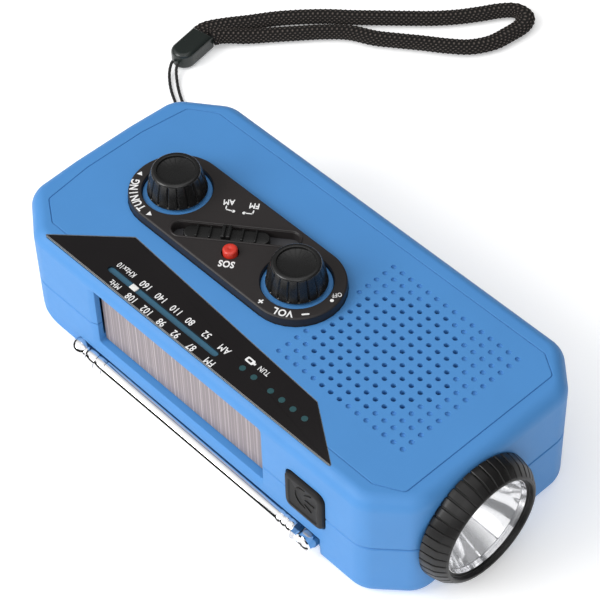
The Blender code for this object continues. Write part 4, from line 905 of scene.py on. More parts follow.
def build_panel():
    """The control panel with its two wells, its slot and the slot's raised lip."""
    def body(shape):
        outline = stadium(SLOT_CENTRE, 59.5, 21.6, 0, 40)
        levels = [(0.05, FACE_Z - 0.7), (0.05, PANEL_Z - 0.55), (0.14, PANEL_Z - 0.25), (0.36, PANEL_Z - 0.06),
                  (0.55, PANEL_Z)]
        loft(shape, [[(x, y, z) for x, y in offset(outline, inset)] for inset, z in levels])

    def wells(shape):
        for x, y in (TUNING, VOLUME):
            lathe(shape, [(7.8, FACE_Z - 2), (7.8, PANEL_Z - 0.2), (8.05, PANEL_Z + 0.1)], (x, y, 0), 96)

    def slot(shape):
        outline = stadium(SLOT_CENTRE, SLOT_LENGTH, SLOT_WIDTH, SLOT_ANGLE)
        levels = [(0, FACE_Z - 2), (0, PANEL_Z - 0.25), (-0.35, PANEL_Z + 0.1)]
        loft(shape, [[(x, y, z) for x, y in offset(outline, inset)] for inset, z in levels])

    def button(shape):
        lathe(shape, [(1.95, FACE_Z - 2), (1.95, PANEL_Z + 1)], (*SOS, 0), 40)

    panel = drawn("control_panel_body", body)
    carve(panel, [drawn(draw.__name__, draw) for draw in (wells, slot, button)])
    place(panel, "radio", LOOKS["panel"], "control_panel", slot="panel_charcoal")

    def slot_floor(shape):
        outline = stadium(SLOT_CENTRE, SLOT_LENGTH, SLOT_WIDTH - 0.05, SLOT_ANGLE)
        slab(shape, outline, FACE_Z - 0.55, FACE_Z + 0.02)

    place(drawn("slot_floor", slot_floor), "radio", LOOKS["dark"], slot="switch_grey")

    def lip(shape):
        outer = stadium(SLOT_CENTRE, SLOT_LENGTH + 1.1, SLOT_WIDTH + 1.1, SLOT_ANGLE)
        inner = stadium(SLOT_CENTRE, SLOT_LENGTH + 0.1, SLOT_WIDTH + 0.1, SLOT_ANGLE)
        rings = [(outer, PANEL_Z - 0.05), (outer, PANEL_Z + 0.1), (offset(outer, 0.15), PANEL_Z + 0.24),
                 (offset(outer, 0.35), PANEL_Z + 0.24), (inner, PANEL_Z + 0.1), (inner, PANEL_Z - 0.05)]
        loops = [[(x, y, z) for x, y in line] for line, z in rings]
        loft(shape, loops + [loops[0]], False, False)
        bmesh.ops.remove_doubles(shape, verts=shape.verts, dist=0.0005)

    place(drawn("slot_lip", lip), "radio", LOOKS["panel"], slot="panel_charcoal")


def panel_letters(shape):
    """Marks round the controls."""
    z = PANEL_Z + PRINT
    across = SLOT_ANGLE + math.pi
    glyphs(shape, "SOS", -11.35, -6.85, z, 2.5, across - 0.05, 0.06, 0.78)
    glyphs(shape, "AM", -24.4, 5.7, z, 2.15, across + 0.1, 0.06, 0.78)
    glyphs(shape, "FM", -19.7, 8.85, z, 2.2, across, 0.06, 0.8)
    for (x0, y0), (x1, y1) in (((-23.9, 4.5), (-23.3, 3.75)), ((-23.3, 3.75), (-21.9, 4.4)),
                               ((-18.7, 7.7), (-18.2, 6.9)), ((-18.2, 6.9), (-19.5, 5.9))):
        line = Vector((x1 - x0, y1 - y0))
        outline = stadium(((x0 + x1) / 2, (y0 + y1) / 2), line.length + 0.28, 0.28, math.atan2(line.y, line.x), 4)
        slab(shape, outline, z - PRINT, z + PRINT)
    for spot in ((-21.7, 4.5), (-19.7, 5.8)):
        slab(shape, circle(spot, 0.38, 20), z - PRINT, z + PRINT)
    arc_glyphs(shape, "TUNING", TUNING, 9.45, z, 2.6, math.radians(-121.5), math.radians(10))
    arc_glyphs(shape, "VOL", VOLUME, 9.35, z, 2.5, math.radians(-62), math.radians(9.6))
    arc_glyphs(shape, "+", VOLUME, 9.3, z, 2.6, math.radians(-96), 0)
    slab(shape, stadium((10.6, -4.7), 1.7, 0.42, math.radians(52), 4), z - PRINT, z + PRINT)
    for angle, side in ((-160.5, -1), (-83, 1)):
        polar = ((8.85, angle), (10.2, angle), (9.6, angle + 6.5 * side))
        corners = [(TUNING[0] + r * math.cos(math.radians(t)), TUNING[1] + r * math.sin(math.radians(t)))
                   for r, t in polar]
        slab(shape, corners if side > 0 else corners[::-1], z - PRINT, z + PRINT)
    slab(shape, circle((11.7, 1.8), 0.42, 20), z - PRINT, z + PRINT)
    glyphs(shape, "OFF", 11.3, 3.6, z, 1.6, across + 0.35, 0.02, 0.74)


def dial_letters(shape):
    """Numbers of the two scales, the battery sign and the tuning word."""
    z = FACE_Z + 0.03
    upper = (("KHzx10", -26.5), ("160", -20.2), ("140", -15.3), ("110", -10.5), ("80", -6.2), ("52", -1.1),
             ("AM", 4.4))
    lower = (("MHz", -25.0), ("108", -19.7), ("102", -14.8), ("98", -10.2), ("92", -5.7), ("87", -0.8), ("FM", 4.8))
    for row, y in ((upper, -21.75), (lower, -26.2)):
        for text, x in row:
            size, narrow = (2.05, 0.74) if "Hz" in text else (2.4, 0.8)
            bold = 0.012 if "Hz" in text else 0.022
            glyphs(shape, text, x, y, z, size, READ + math.radians(2.0), bold, narrow)
    glyphs(shape, "TUN", 14.4, -19.9, z, 1.8, READ + math.radians(2.0), 0.018, 0.74)
    outer, inner = rectangle((9.3, -20.75), (11.5, -19.45), 0.3), rectangle((9.75, -20.4), (10.9, -19.8), 0.1)
    levels = ((outer, z - PRINT), (outer, z + PRINT), (inner, z + PRINT), (inner, z - PRINT))
    rings = [[(x, y, h) for x, y in line] for line, h in levels]
    loft(shape, rings + [rings[0]], False, False)
    slab(shape, rectangle((11.5, -20.35), (12.0, -19.85), 0.1), z - PRINT, z + PRINT)


def fluted(count, depth, low, high, inside=0.0):
    """Broad flats with narrow grooves between them, from low to high and outside a radius."""
    def swell(angle, radius, height):
        if not low < height < high or radius <= inside:
            return 1
        part = abs((angle * count / math.tau) % 1 - 0.5) * 2
        return 1 - depth * max(0.0, (part - 0.8) / 0.2) ** 0.8
    return swell


def build_knob(name, node, body, centre):
    """A tapered knob with flats, a raised rim and a sunk disc."""
    base, top = PANEL_Z - 0.3, PANEL_Z + 5.9

    def draw(shape):
        grip = fluted(18, 0.045, base + 0.5, top - 0.55)
        profile = [(0, base), (6.4, base), (6.62, base + 0.15), (6.68, base + 0.45), (6.62, base + 0.6),
                   (6.15, base + 3.4), (5.5, top - 0.7), (5.42, top - 0.45), (5.26, top - 0.18), (5.0, top - 0.03),
                   (4.5, top), (4.25, top - 0.06), (4.15, top - 0.2), (4.12, top - 0.55), (4.0, top - 0.6),
                   (0, top - 0.5)]
        lathe(shape, profile, (*centre, 0), 240, swell=grip)
        lathe(shape, [(0, PANEL_Z - 5.2), (3.0, PANEL_Z - 5.2), (3.0, base + 0.2), (0, base + 0.2)], (*centre, 0), 32)

    place(drawn(name, draw), body, LOOKS["knob"], node, slot="knob_black")


def build_slider():
    """The band slider: cap with four thin ribs and a raised block in the middle."""
    x, y = (SLOT_CENTRE[0] + SLIDER_ALONG * math.cos(SLOT_ANGLE), SLOT_CENTRE[1] + SLIDER_ALONG * math.sin(SLOT_ANGLE))
    turn = Matrix.Translation((x, y, 0)) @ Matrix.Rotation(SLOT_ANGLE, 4, "Z")

    def draw(shape):
        slab(shape, stadium((0, 0), 18.9, 3.8), FACE_Z + 0.3, PANEL_Z - 0.5, 0.3)
        for along in (-6.4, -3.5, 3.5, 6.4):
            outline = rectangle((along - 0.28, -1.75), (along + 0.28, 1.75), 0.2)
            slab(shape, outline, PANEL_Z - 1, PANEL_Z + 0.15, 0.25)
        for along in (-0.62, 0.62):
            slab(shape, rectangle((along - 0.42, -1.8), (along + 0.42, 1.8), 0.2), PANEL_Z - 1, PANEL_Z + 0.7, 0.25)
        slab(shape, rectangle((-0.7, -1.4), (0.7, 1.4)), PANEL_Z - 1, PANEL_Z + 0.1)
        block(shape, (-3, -1, FACE_Z - 2.5), (3, 1, FACE_Z + 0.6))
        shape.transform(turn)

    place(drawn("slider_cap", draw), "band", LOOKS["knob"], "band_slider", slot="knob_black")


def build_buttons():
    """The red SOS button and the rubber key of the torch with its sign."""
    def sos(shape):
        top = PANEL_Z + 1.3
        profile = [(0, FACE_Z - 3.7), (1.0, FACE_Z - 3.7), (1.0, FACE_Z - 3.3), (2.5, FACE_Z - 3.3),
                   (2.5, FACE_Z - 2.5), (1.65, FACE_Z - 2.5), (1.65, top - 0.45), (1.58, top - 0.22),
                   (1.4, top - 0.06), (1.1, top), (0.45, top - 0.02), (0.3, top - 0.1), (0, top - 0.12)]
        lathe(shape, profile, (*SOS, 0), 48)

    place(drawn("sos_cap", sos), "sos", LOOKS["red"], "sos_button", slot="button_red")

    def pad(shape):
        outline = square(TORCH_KEY, KEY_HALF, 1.9, 6)
        levels = [(0, 2.6), (0, -0.25), (0.15, -0.6), (0.5, -0.82), (0.95, -0.9), (1.3, -0.9), (1.5, -0.72),
                  (1.8, -0.66)]
        loft(shape, [[(x, -HALF_WIDTH + depth, z) for x, z in offset(outline, inset)] for inset, depth in levels])
        flange = square(TORCH_KEY, KEY_HALF + 0.9, 1)
        loft(shape, [[(x, -HALF_WIDTH + depth, z) for x, z in flange] for depth in (3.1, 2.3)])

    place(drawn("torch_key_pad", pad), "torch_key", LOOKS["rubber"], "torch_button", slot="button_rubber")

    def lamp_sign(shape):
        """A raised lamp with three rays."""
        y0, y1 = -HALF_WIDTH - 0.6, -HALF_WIDTH - 0.86

        def bar(x0, z0, x1, z1, width):
            length = math.hypot(x1 - x0, z1 - z0) + width
            outline = stadium(((x0 + x1) / 2, (z0 + z1) / 2), length, width, math.atan2(z1 - z0, x1 - x0), 4)
            loft(shape, [[(TORCH_KEY[0] + x, y, TORCH_KEY[1] + z) for x, z in offset(outline, inset)]
                         for y, inset in ((y0, 0), (y1 + 0.08, 0), (y1, 0.08))])

        bowl = [(0.4 - 2.75 * math.cos(a), 0.85 + 2.8 * math.sin(a))
                for a in (math.pi * (k / 12 - 0.5) for k in range(13))]
        for (x0, z0), (x1, z1) in zip(bowl, bowl[1:]):
            bar(x0, z0, x1, z1, 0.34)
        for line in ((0.65, 0.7, 3.1, 0.7), (0.45, 2.1, 2.2, 3.3), (0.45, -0.8, 2.2, -1.7)):
            bar(*line, 0.34)

    place(drawn("torch_key_sign", lamp_sign), "torch_key", LOOKS["rubber"], slot="button_rubber")


def build_dial():
    """The smoked dial with its bright edge, the strip and pointer behind it, and its marks."""
    def body(shape):
        outline = rounded(DIAL, 0.2)
        levels = [(0, FACE_Z - 0.9), (0, FACE_Z - 0.2), (0.22, FACE_Z)]
        loft(shape, [[(x, y, z) for x, y in offset(outline, inset)] for inset, z in levels])

    def slot(shape):
        loft(shape, [[(x, y, z) for x, y in stadium(STRIP_MIDDLE, 34.5, 1.6)]
                     for z in (FACE_Z - 2, FACE_Z + 1)])

    window = drawn("dial_face", body)
    carve(window, [drawn("slot", slot)])
    place(window, "radio", LOOKS["window"], "dial_window", slot="dial_gloss")

    # A thin light grey ring round the dial: painted highlight on its edge.
    def edge(shape):
        outline = rounded(DIAL, 0.2)
        rings = [(0.01, FACE_Z - 0.3), (-0.06, FACE_Z - 0.3), (-0.06, FACE_Z - 0.03), (-0.03, FACE_Z),
                 (0.01, FACE_Z - 0.03)]
        loops = [[(x, y, z) for x, y in offset(outline, inset)] for inset, z in rings]
        loft(shape, loops + [loops[0]], False, False)
        bmesh.ops.remove_doubles(shape, verts=shape.verts, dist=0.0005)

    place(drawn("dial_edge_line", edge), "radio", LOOKS["edge"], slot="dial_gloss")

    def strip(shape):
        slab(shape, stadium(STRIP_MIDDLE, 34.4, 1.58), FACE_Z - 3.8, FACE_Z - 0.45)

    place(drawn("dial_strip", strip), "radio", LOOKS["teal"], "dial_backplate", slot="dial_teal")

    low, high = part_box("dial_pointer")
    x, y = ((low[i] + high[i]) / 2 / MM - CENTRE[i] / MM for i in (0, 1))

    def pointer(shape):
        slab(shape, rectangle((-0.95, -0.7), (0.95, 0.7), 0.12), FACE_Z - 0.42, FACE_Z - 0.05, 0.08)
        shape.transform(Matrix.Translation((x, y, 0)))

    place(drawn("pointer_tab", pointer), "pointer", LOOKS["white"], "dial_pointer", slot="pointer_white")

    def dots(shape):
        for x in (10.7, 14.1, 19.1, 22.4, 25.7, 29.1):
            slab(shape, circle((x, -22.5), 0.72, 28), FACE_Z - 0.02, FACE_Z + 0.02)

    place(drawn("indicator_dots", dots), "radio", LOOKS["lamp_off"], slot="dial_teal")
    lettered("dial_lettering", "radio", "pointer_white", dial_letters)


def build_solar():
    """The solar cell on its black carrier, behind the window in the side."""
    def cell(shape):
        block(shape, (-29.7, -27.0, 10.6), (23.3, -26.0, 27.4))

    place(drawn("solar_film_cell", cell), "radio", LOOKS["solar"], "solar_cell", slot="solar_brown")

    def carrier(shape):
        block(shape, (-31.4, -25.98, 9.2), (24.0, -25.7, 28.0))

    place(drawn("solar_carrier", carrier), "radio", LOOKS["rubber"], slot="solar_brown")


# ---------------------------------------------------------------- torch

def build_torch():
    """The ribbed ring with its lens, and the faceted dish with the lamp in it."""
    front, back = HALF_LENGTH + 5.9, HALF_LENGTH + 0.2
    y, z = TORCH

    def ring(shape):
        profile = [(12.0, back - 4.3), (12.0, back), (14.5, back), (14.65, back + 0.2), (14.5, back + 1.2),
                   (14.1, front - 2.0), (13.05, front - 0.45), (12.8, front - 0.1), (12.55, front),
                   (12.25, front - 0.1), (12.15, front - 0.3), (12.05, front - 1.0), (11.9, front - 1.05),
                   (11.85, front - 1.3), (11.5, front - 1.35), (11.5, back - 4.3), (12.0, back - 4.3)]
        lathe(shape, profile, (0, y, z), 144, "X")

    body = drawn("torch_bezel", ring)

    def rib(shape):
        half = math.tau / RING_RIBS * 0.43
        rings = []
        for x, outer in ((back - 0.1, 14.9), (back + 0.2, 15.05), (back + 1.4, 14.95), (front - 2.3, 14.5),
                         (front - 1.9, 14.3), (front - 0.55, 13.35), (front - 0.15, 12.95)):
            angles = (-half, -half * 0.85, 0, half * 0.85, half)
            lifts = (0.12, 0, 0, 0, 0.12)
            top = [(outer - lift, a) for a, lift in zip(angles, lifts)]
            low = [(outer - 0.8, half), (outer - 0.8, -half)]
            rings.append([(r * math.cos(a), r * math.sin(a), x) for r, a in top + low])
        loft(shape, rings)

    ribs = repeated("torch_ribs", "RING", local("rib", rib), Count=RING_RIBS, Centre=at(0, y, z),
                    Tilt=Vector((0, math.pi / 2, 0)))
    place(joined(body, ribs), "radio", LOOKS["ring"], "torch_ring", slot="ring_black")

    def rim(shape):
        lathe(shape, [(11.25, front - 2.45), (11.46, front - 2.45), (11.46, front - 1.25), (11.38, front - 1.25),
                      (11.25, front - 2.45)], (0, y, z), 96, "X")

    place(drawn("torch_rim", rim), "radio", LOOKS["chrome"], slot="chrome")

    def lens(shape):
        x = front - 1.45
        profile = [(0, x - 0.75), (11.1, x - 0.75), (11.12, x - 0.1), (10.6, x + 0.03), (6, x + 0.18), (0, x + 0.22)]
        lathe(shape, profile, (0, y, z), 72, "X")

    place(drawn("torch_glass", lens), "radio", LOOKS["lens"], "torch_lens", slot="lens_clear")

    def dish(shape):
        """A bowl of narrow radial facets round the lamp."""
        def facet(angle, radius, height):
            return 1 + 0.035 * ((angle * 14 / math.tau) % 1 - 0.5) if 2.8 < radius < 11 else 1

        rim_x = front - 2.55
        deep = rim_x - 13.2
        inside = [(max(2.4, 11.2 * math.sqrt(k / 14)), deep + 13.2 * k / 14) for k in range(14, 1, -1)]
        outside = [(min(11.5, r + 0.5), x) for r, x in reversed(inside)]
        profile = [(2.4, deep + 1.0), (3.2, deep + 1.0), *outside, *inside, (2.4, deep + 1.6), (2.4, deep + 1.0)]
        lathe(shape, profile, (0, y, z), 216, "X", facet)

    place(drawn("torch_dish", dish, 20), "radio", LOOKS["mirror"], "torch_reflector", slot="chrome")

    def lamp(shape):
        deep = front - 15.75
        profile = [(0, deep + 0.2), (2.3, deep + 0.2), (2.3, deep + 2.6), (1.9, deep + 2.8), (1.7, deep + 3.6),
                   (1.2, deep + 4.4), (0.5, deep + 4.8), (0, deep + 4.85)]
        lathe(shape, profile, (0, y, z), 36, "X")

    place(drawn("torch_lamp", lamp), "radio", LOOKS["led"], "torch_led", slot="led_clear")


# ---------------------------------------------------------------- antenna

def along_x(node):
    """Where a CAD node starts and ends along x."""
    low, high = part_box(node)
    return (low[0] - CENTRE.x) / MM, (high[0] - CENTRE.x) / MM


def barrel(start, length, radius, bulge=0.12, steps=8):
    """The outside of a ring that swells a little in the middle."""
    return [(radius - bulge * (2 * k / steps - 1) ** 2, start + length * k / steps) for k in range(steps + 1)]


def build_section(i, radius):
    """One section of the antenna. The first has the eye of the hinge, two have end collars, the last is solid."""
    y, z = ANTENNA_Y, ANTENNA_Z
    first, last = i == 1, i == len(SECTION_RADII)
    node = "antenna_rod" if last else f"antenna_tube_{i}"
    start, end = along_x(node)
    bore = radius - SECTION_WALL
    stop = end - (4.9 if first else 0.0)

    def draw(shape):
        if last:
            lathe(shape, [(0, start), (radius, start), (radius, end), (0, end)], (0, y, z), 24, "X")
            return
        if i in (2, 3):
            outside = barrel(start, 2.55, 2.2) + [(radius, start + 2.58)]
        else:
            outside = [(radius - 0.12, start), (radius, start + 0.15)]
        if first:
            for ring in range(3):
                outside += barrel(stop - 5.0 + 1.55 * ring, 1.5, radius)
        profile = [(bore, start), *outside, (radius, stop - 0.2), (radius - 0.2, stop), (bore, stop), (bore, start)]
        lathe(shape, profile, (0, y, z), 48, "X")
        if first:
            plug = [(0, stop - 1.4), (radius - 0.1, stop - 1.4), (radius - 0.1, stop), (0, stop)]
            lathe(shape, plug, (0, y, z), 32, "X")
            block(shape, (stop - 1, y - 1.5, z - 0.8), (PIVOT_X, y + 1.5, z + 0.8))
            lathe(shape, [(0, -0.8), (1.6, -0.8), (1.6, 0.8), (0, 0.8)], (PIVOT_X, y, z), 32)

    place(drawn(f"antenna_section_{i}", draw), f"antenna_{i}", LOOKS["chrome"], node, slot="chrome")


def build_antenna():
    """The five sections, the ball on the last one, and the fork they fold in."""
    y, z = ANTENNA_Y, ANTENNA_Z
    tip = sum(along_x("antenna_tip")) / 2

    def ball(shape):
        points = [(BALL_RADIUS * math.sin(math.pi * k / 20), BALL_RADIUS * -math.cos(math.pi * k / 20))
                  for k in range(21)]
        points[0], points[-1] = (0, -BALL_RADIUS), (0, BALL_RADIUS)
        lathe(shape, points, (tip, y, z), 40, "X")
        neck = [(0, 1.8), (1.7, 2.0), (1.95, 2.2), (1.95, 2.7), (1.7, 2.88), (0, 2.9)]
        lathe(shape, neck, (tip, y, z), 32, "X")

    place(drawn("antenna_ball", ball), "antenna_5", LOOKS["chrome"], "antenna_tip", slot="chrome")
    for i, radius in enumerate(SECTION_RADII, 1):
        build_section(i, radius)

    def fork(shape):
        profile = [(0, -1.8), (2.05, -1.8), (2.3, -1.55), (2.3, 2.3), (2.1, 2.5), (0, 2.5)]
        lathe(shape, profile, (PIVOT_X, y, z), 48, "Y")

    def gap(shape):
        block(shape, (PIVOT_X - 5, y - 3, z - 1.1), (PIVOT_X + 1.9, y + 1.9, z + 1.1))

    base = drawn("antenna_fork_body", fork)
    carve(base, [drawn("gap", gap)])

    def stem(shape):
        lathe(shape, [(0, 2.4), (1.5, 2.4), (1.5, 6.2), (0, 6.2)], (PIVOT_X, y, z), 24, "Y")

    def rivet(shape):
        for side in (-1, 1):
            dome = [(0, 0), (1.15, 0), (1.05, 0.2), (0.6, 0.38), (0, 0.42)]
            heads = [(r, side * (2.0 + h)) for r, h in dome]
            lathe(shape, heads, (PIVOT_X, y, z), 24)
        lathe(shape, [(0, -2), (0.7, -2), (0.7, 2), (0, 2)], (PIVOT_X, y, z), 20)

    place(joined(base, drawn("stem", stem)), "antenna_fork", LOOKS["chrome"], "antenna_base", slot="chrome")
    place(drawn("antenna_rivet", rivet), "antenna_fork", LOOKS["steel"], "antenna_pin", slot="steel")


# ---------------------------------------------------------------- crank, cover, screws

def build_crank():
    """The disc in the back, the arm that folds out of it and the knob on the arm."""
    cx, cy = CRANK
    hinge, grip = cx - 19.0, cx + 11.0

    def rotor(shape):
        profile = [(0, 0.3), (23.6, 0.3), (24.2, 0.6), (24.4, 1.1), (24.4, 8.8), (24.1, 9.0), (0, 9.0)]
        lathe(shape, profile, (cx, cy, 0), 160)

    def slot(shape):
        block(shape, (cx - 26, cy - 4.6, -1), (grip, cy + 4.6, 7.7))

    def well(shape):
        loft(shape, [[(x, y, z) for x, y in stadium((grip + 0.85, cy), 15.7, 14.0)] for z in (-1, 10)])

    def thumb(shape):
        for side in (-1, 1):
            lathe(shape, [(3.2, -1), (3.2, 3.5)], (cx - 8, cy + side * 5.2, 0), 48)

    def line(shape):
        profile = [(21.6, -0.5), (22.1, -0.5), (22.1, 0.55), (21.6, 0.55), (21.6, -0.5)]
        lathe(shape, profile, (cx, cy, 0), 120)

    disc = drawn("crank_disc_body", rotor)
    carve(disc, [drawn(draw.__name__, draw) for draw in (slot, well, thumb, line)])

    def axle(shape):
        lathe(shape, [(0, 8.5), (2.5, 8.5), (2.5, 19.2), (0, 19.2)], (cx, cy, 0), 32)

    place(joined(disc, drawn("axle", axle)), "crank", LOOKS["case"], "crank_rotor", slot="case_blue")

    def arm(shape):
        outline = stadium(((hinge + grip) / 2 + 0.9, cy), grip - hinge + 8 - 1.9, 8.0, steps=24)
        slab(shape, outline, 4.35, 7.05, 0.4, 0.7)
        lathe(shape, [(0, -4), (1.5, -4), (1.7, -3.8), (1.7, 3.8), (1.5, 4), (0, 4)], (hinge, cy, 2.0), 32, "Y")
        block(shape, (hinge - 1.5, cy - 3.8, 2.0), (hinge + 1.5, cy + 3.8, 5.4))
        lathe(shape, [(0, 6), (1.6, 6), (1.6, 11.4), (0, 11.4)], (grip, cy, 0), 24)

    def hollow(shape):
        slab(shape, stadium(((hinge + grip) / 2, cy), 20, 4.4), 3.9, 5.0)

    lever = drawn("crank_lever_body", arm)
    carve(lever, [drawn("hollow", hollow)])
    place(lever, "crank_lever", LOOKS["case"], "crank_arm", slot="case_blue")

    def knob(shape):
        low, high = 7.4, 13.6
        profile = [(1.9, low), (5.4, low), (6.1, low + 0.3), (6.35, low + 0.9), (6.35, high - 1.0),
                   (6.1, high - 0.3), (5.5, high), (0.6, high), (0, high - 0.02)]
        flutes = fluted(20, 0.05, low + 0.5, high - 0.6, 6)
        lathe(shape, [(0, low)] + profile, (grip, cy, 0), 160, swell=flutes)

    place(drawn("crank_grip_knob", knob), "crank_grip", LOOKS["knob"], "crank_knob", slot="knob_black")


def build_cover():
    """The flap over the sockets, with a ridged edge for the nail."""
    def flap(shape):
        outline = rectangle((-12.7, 8.9), (12.7, 23.1), 0.9, 5)
        rings = [[(-HALF_LENGTH + d, y, z) for y, z in offset(outline, i)]
                 for d, i in ((0.9, 0), (0.2, 0), (0.04, 0.15), (0.0, 0.4))]
        loft(shape, rings)

    cover = drawn("port_flap_body", flap)

    def ridges(shape):
        for k in range(5):
            z = 20.4 + 0.55 * k
            block(shape, (-HALF_LENGTH - 0.02, -5, z), (-HALF_LENGTH + 0.2, 5, z + 0.25))

    place(joined(cover, drawn("ridges", ridges)), "cover", LOOKS["cover"], "port_cover", slot="cover_blue")


def build_screws():
    """Pan heads with a cross recess, set at the four corners by a node tree."""
    def head(shape):
        lathe(shape, [(0, 4), (1.25, 4), (1.25, 24), (0, 24)], (0, 0, 0), 16)
        pan = [(0, 2.0), (1.4, 2.0), (2.1, 2.2), (2.5, 2.7), (2.6, 3.2), (2.6, 4.0), (0, 4.0)]
        lathe(shape, pan, (0, 0, 0), 32)

    screw = local("screw", head)

    def cross(shape):
        block(shape, (-1.3, -0.25, 1), (1.3, 0.25, 3.2))
        block(shape, (-0.25, -1.3, 0.9), (0.25, 1.3, 3.1))

    carve(screw, [local("cross", cross)])
    origin = Vector((0, 0, 0))
    made = repeated("corner_screws", "GRID", screw, LOOKS["steel"], Columns=2, Rows=2, Pitch=2 * SCREWS[0] * MM,
                    Centre=origin, Middle=origin, Inner=-1.0, Outer=1.0, Avoid=origin, Clear=-1.0)
    squeeze = SCREWS[1] / SCREWS[0]
    for vert in made.data.vertices:
        x, y = vert.co.x, vert.co.y
        corner = math.copysign(SCREWS[0] * MM, y)
        vert.co.y = y - corner + corner * squeeze
        vert.co += CENTRE
    place(made, "radio", LOOKS["steel"], "case_screw_1", "case_screw_2", "case_screw_3", "case_screw_4",
          slot="steel")


# ---------------------------------------------------------------- strap

def frames_along(points):
    """Tangent, side and up at each point of a route that lies nearly flat."""
    result = []
    for i, point in enumerate(points):
        ahead = (points[min(i + 1, len(points) - 1)] - points[max(i - 1, 0)]).normalized()
        side = ahead.cross(Vector((0, 0, 1))).normalized()
        result.append((point, ahead, side, side.cross(ahead)))
    return result


def build_strap():
    """Flat braid: two threads cross over each other all round an oval section."""
    points = smooth_route(STRAP_ROUTE, 1000)
    frames = frames_along(points)
    around, width, thick = 72, STRAP_WIDTH / 2, STRAP_THICKNESS / 2
    shape = bmesh.new()
    layer = shape.verts.layers.float.new("thread")
    travelled, loops = 0.0, []
    for i, (point, ahead, side, up) in enumerate(frames):
        if i:
            travelled += (point - points[i - 1]).length
        loop = []
        for k in range(around):
            turn = math.tau * k / around
            rank = turn / math.tau * 18
            along = travelled / 1.25 + 0.5 * (int(rank) % 2)
            over = math.sin(math.pi * (rank % 1)) ** 0.6 * (0.5 + 0.5 * math.cos(math.tau * along)) ** 0.7
            lift = 0.30 * over
            squash = abs(math.cos(turn)) ** 0.75 * math.copysign(1, math.cos(turn))
            rise = abs(math.sin(turn)) ** 0.75 * math.copysign(1, math.sin(turn))
            spot = point + side * (squash * (width - 0.25 + lift)) + up * (rise * (thick - 0.25 + lift))
            vert = shape.verts.new(spot)
            vert[layer] = over
            loop.append(vert)
        loops.append(loop)
    for low, high in zip(loops, loops[1:]):
        for k in range(around):
            n = (k + 1) % around
            shape.faces.new((low[k], low[n], high[n], high[k]))
    shape.faces.new(loops[0][::-1])
    shape.faces.new(loops[-1])
    bmesh.ops.recalc_face_normals(shape, faces=shape.faces)
    strap = bpy.data.objects.new("strap_webbing", mesh_of(shape, "strap_webbing", 60))
    bpy.context.scene.collection.objects.link(strap)
    place(strap, "radio", LOOKS["braid"], "wrist_strap", slot="strap_black")
    path = [at(*p) for p in points[::6] + [points[-1]]]
    return strap


def build_strings():
    """The two thin strings between the notch and the sleeve."""
    for name, route, node in (("string_a", STRING_A, "lanyard_string_a"), ("string_b", STRING_B, "lanyard_string_b")):
        points = smooth_route(route, 160)
        shape = bmesh.new()
        loops, travelled = [], 0.0
        for i, (point, ahead, side, up) in enumerate(frames_along(points)):
            if i:
                travelled += (point - points[i - 1]).length
            loop = []
            for k in range(12):
                turn = math.tau * k / 12
                radius = STRING_WIDTH / 2 * (0.93 + 0.07 * math.cos(3 * turn + travelled * 5))
                loop.append(shape.verts.new(point + side * radius * math.cos(turn) + up * radius * math.sin(turn)))
            loops.append(loop)
        for low, high in zip(loops, loops[1:]):
            for k in range(12):
                n = (k + 1) % 12
                shape.faces.new((low[k], low[n], high[n], high[k]))
        shape.faces.new(loops[0][::-1])
        shape.faces.new(loops[-1])
        bmesh.ops.recalc_face_normals(shape, faces=shape.faces)
        string = bpy.data.objects.new(name, mesh_of(shape, name, 60))
        bpy.context.scene.collection.objects.link(string)
        place(string, "radio", LOOKS["cord"], node, slot="string_black")
        path = [at(*p) for p in points[::2] + [points[-1]]]


def build_sleeve():
    """The flat sleeve that clamps the strap: round at the strings' end, open at the strap's."""
    def body(shape):
        half, reach = 3.2, 5.5
        arc = [(half * math.cos(a), half - reach + half * math.sin(a))
               for a in (math.pi + math.pi * k / 16 for k in range(17))]
        outline = arc + [(half, reach), (-half, reach)]
        slab(shape, outline, 0, 4.6, 1.2, 1.0, 6)
        shape.transform(Matrix.Translation((-94.2, 53.6, 0.1)) @ Matrix.Rotation(math.radians(10), 4, "Z"))

    def mouth(shape):
        block(shape, (-2.5, 3.0, 0.8), (2.5, 7, 3.9))
        shape.transform(Matrix.Translation((-94.2, 53.6, 0.1)) @ Matrix.Rotation(math.radians(10), 4, "Z"))

    sleeve = drawn("strap_sleeve_body", body, 40)
    carve(sleeve, [drawn("mouth", mouth)], 40)
    place(sleeve, "radio", LOOKS["sleeve"], "lanyard_bead", slot="bead_black")


# ---------------------------------------------------------------- inside and stage

KEPT = {
    "speaker_frame": "steel", "speaker_cone": "cone", "speaker_magnet": "dark", "torch_switch": "dark",
    "crank_hinge_pin": "steel", "drive_gear": "gear", "idler_gear": "gear", "idler_axle": "steel",
    "generator_pinion": "gear", "generator_body": "steel", "battery_cell": "wrap", "ferrite_rod": "ferrite",
    "ferrite_coil": "copper", "main_board": "board", "tuning_capacitor": "cream", "volume_pot": "steel",
    "band_switch": "dark", "sos_switch": "dark", "usb_a_socket": "steel", "micro_usb_socket": "steel",
    "lanyard_bar": "steel",
}


def dress_inside():
    """Gives the frame's own solids that stay their finishes."""
    for node, finish in KEPT.items():
        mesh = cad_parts[node].data
        mesh.materials.clear()
        mesh.materials.append(LOOKS[finish])


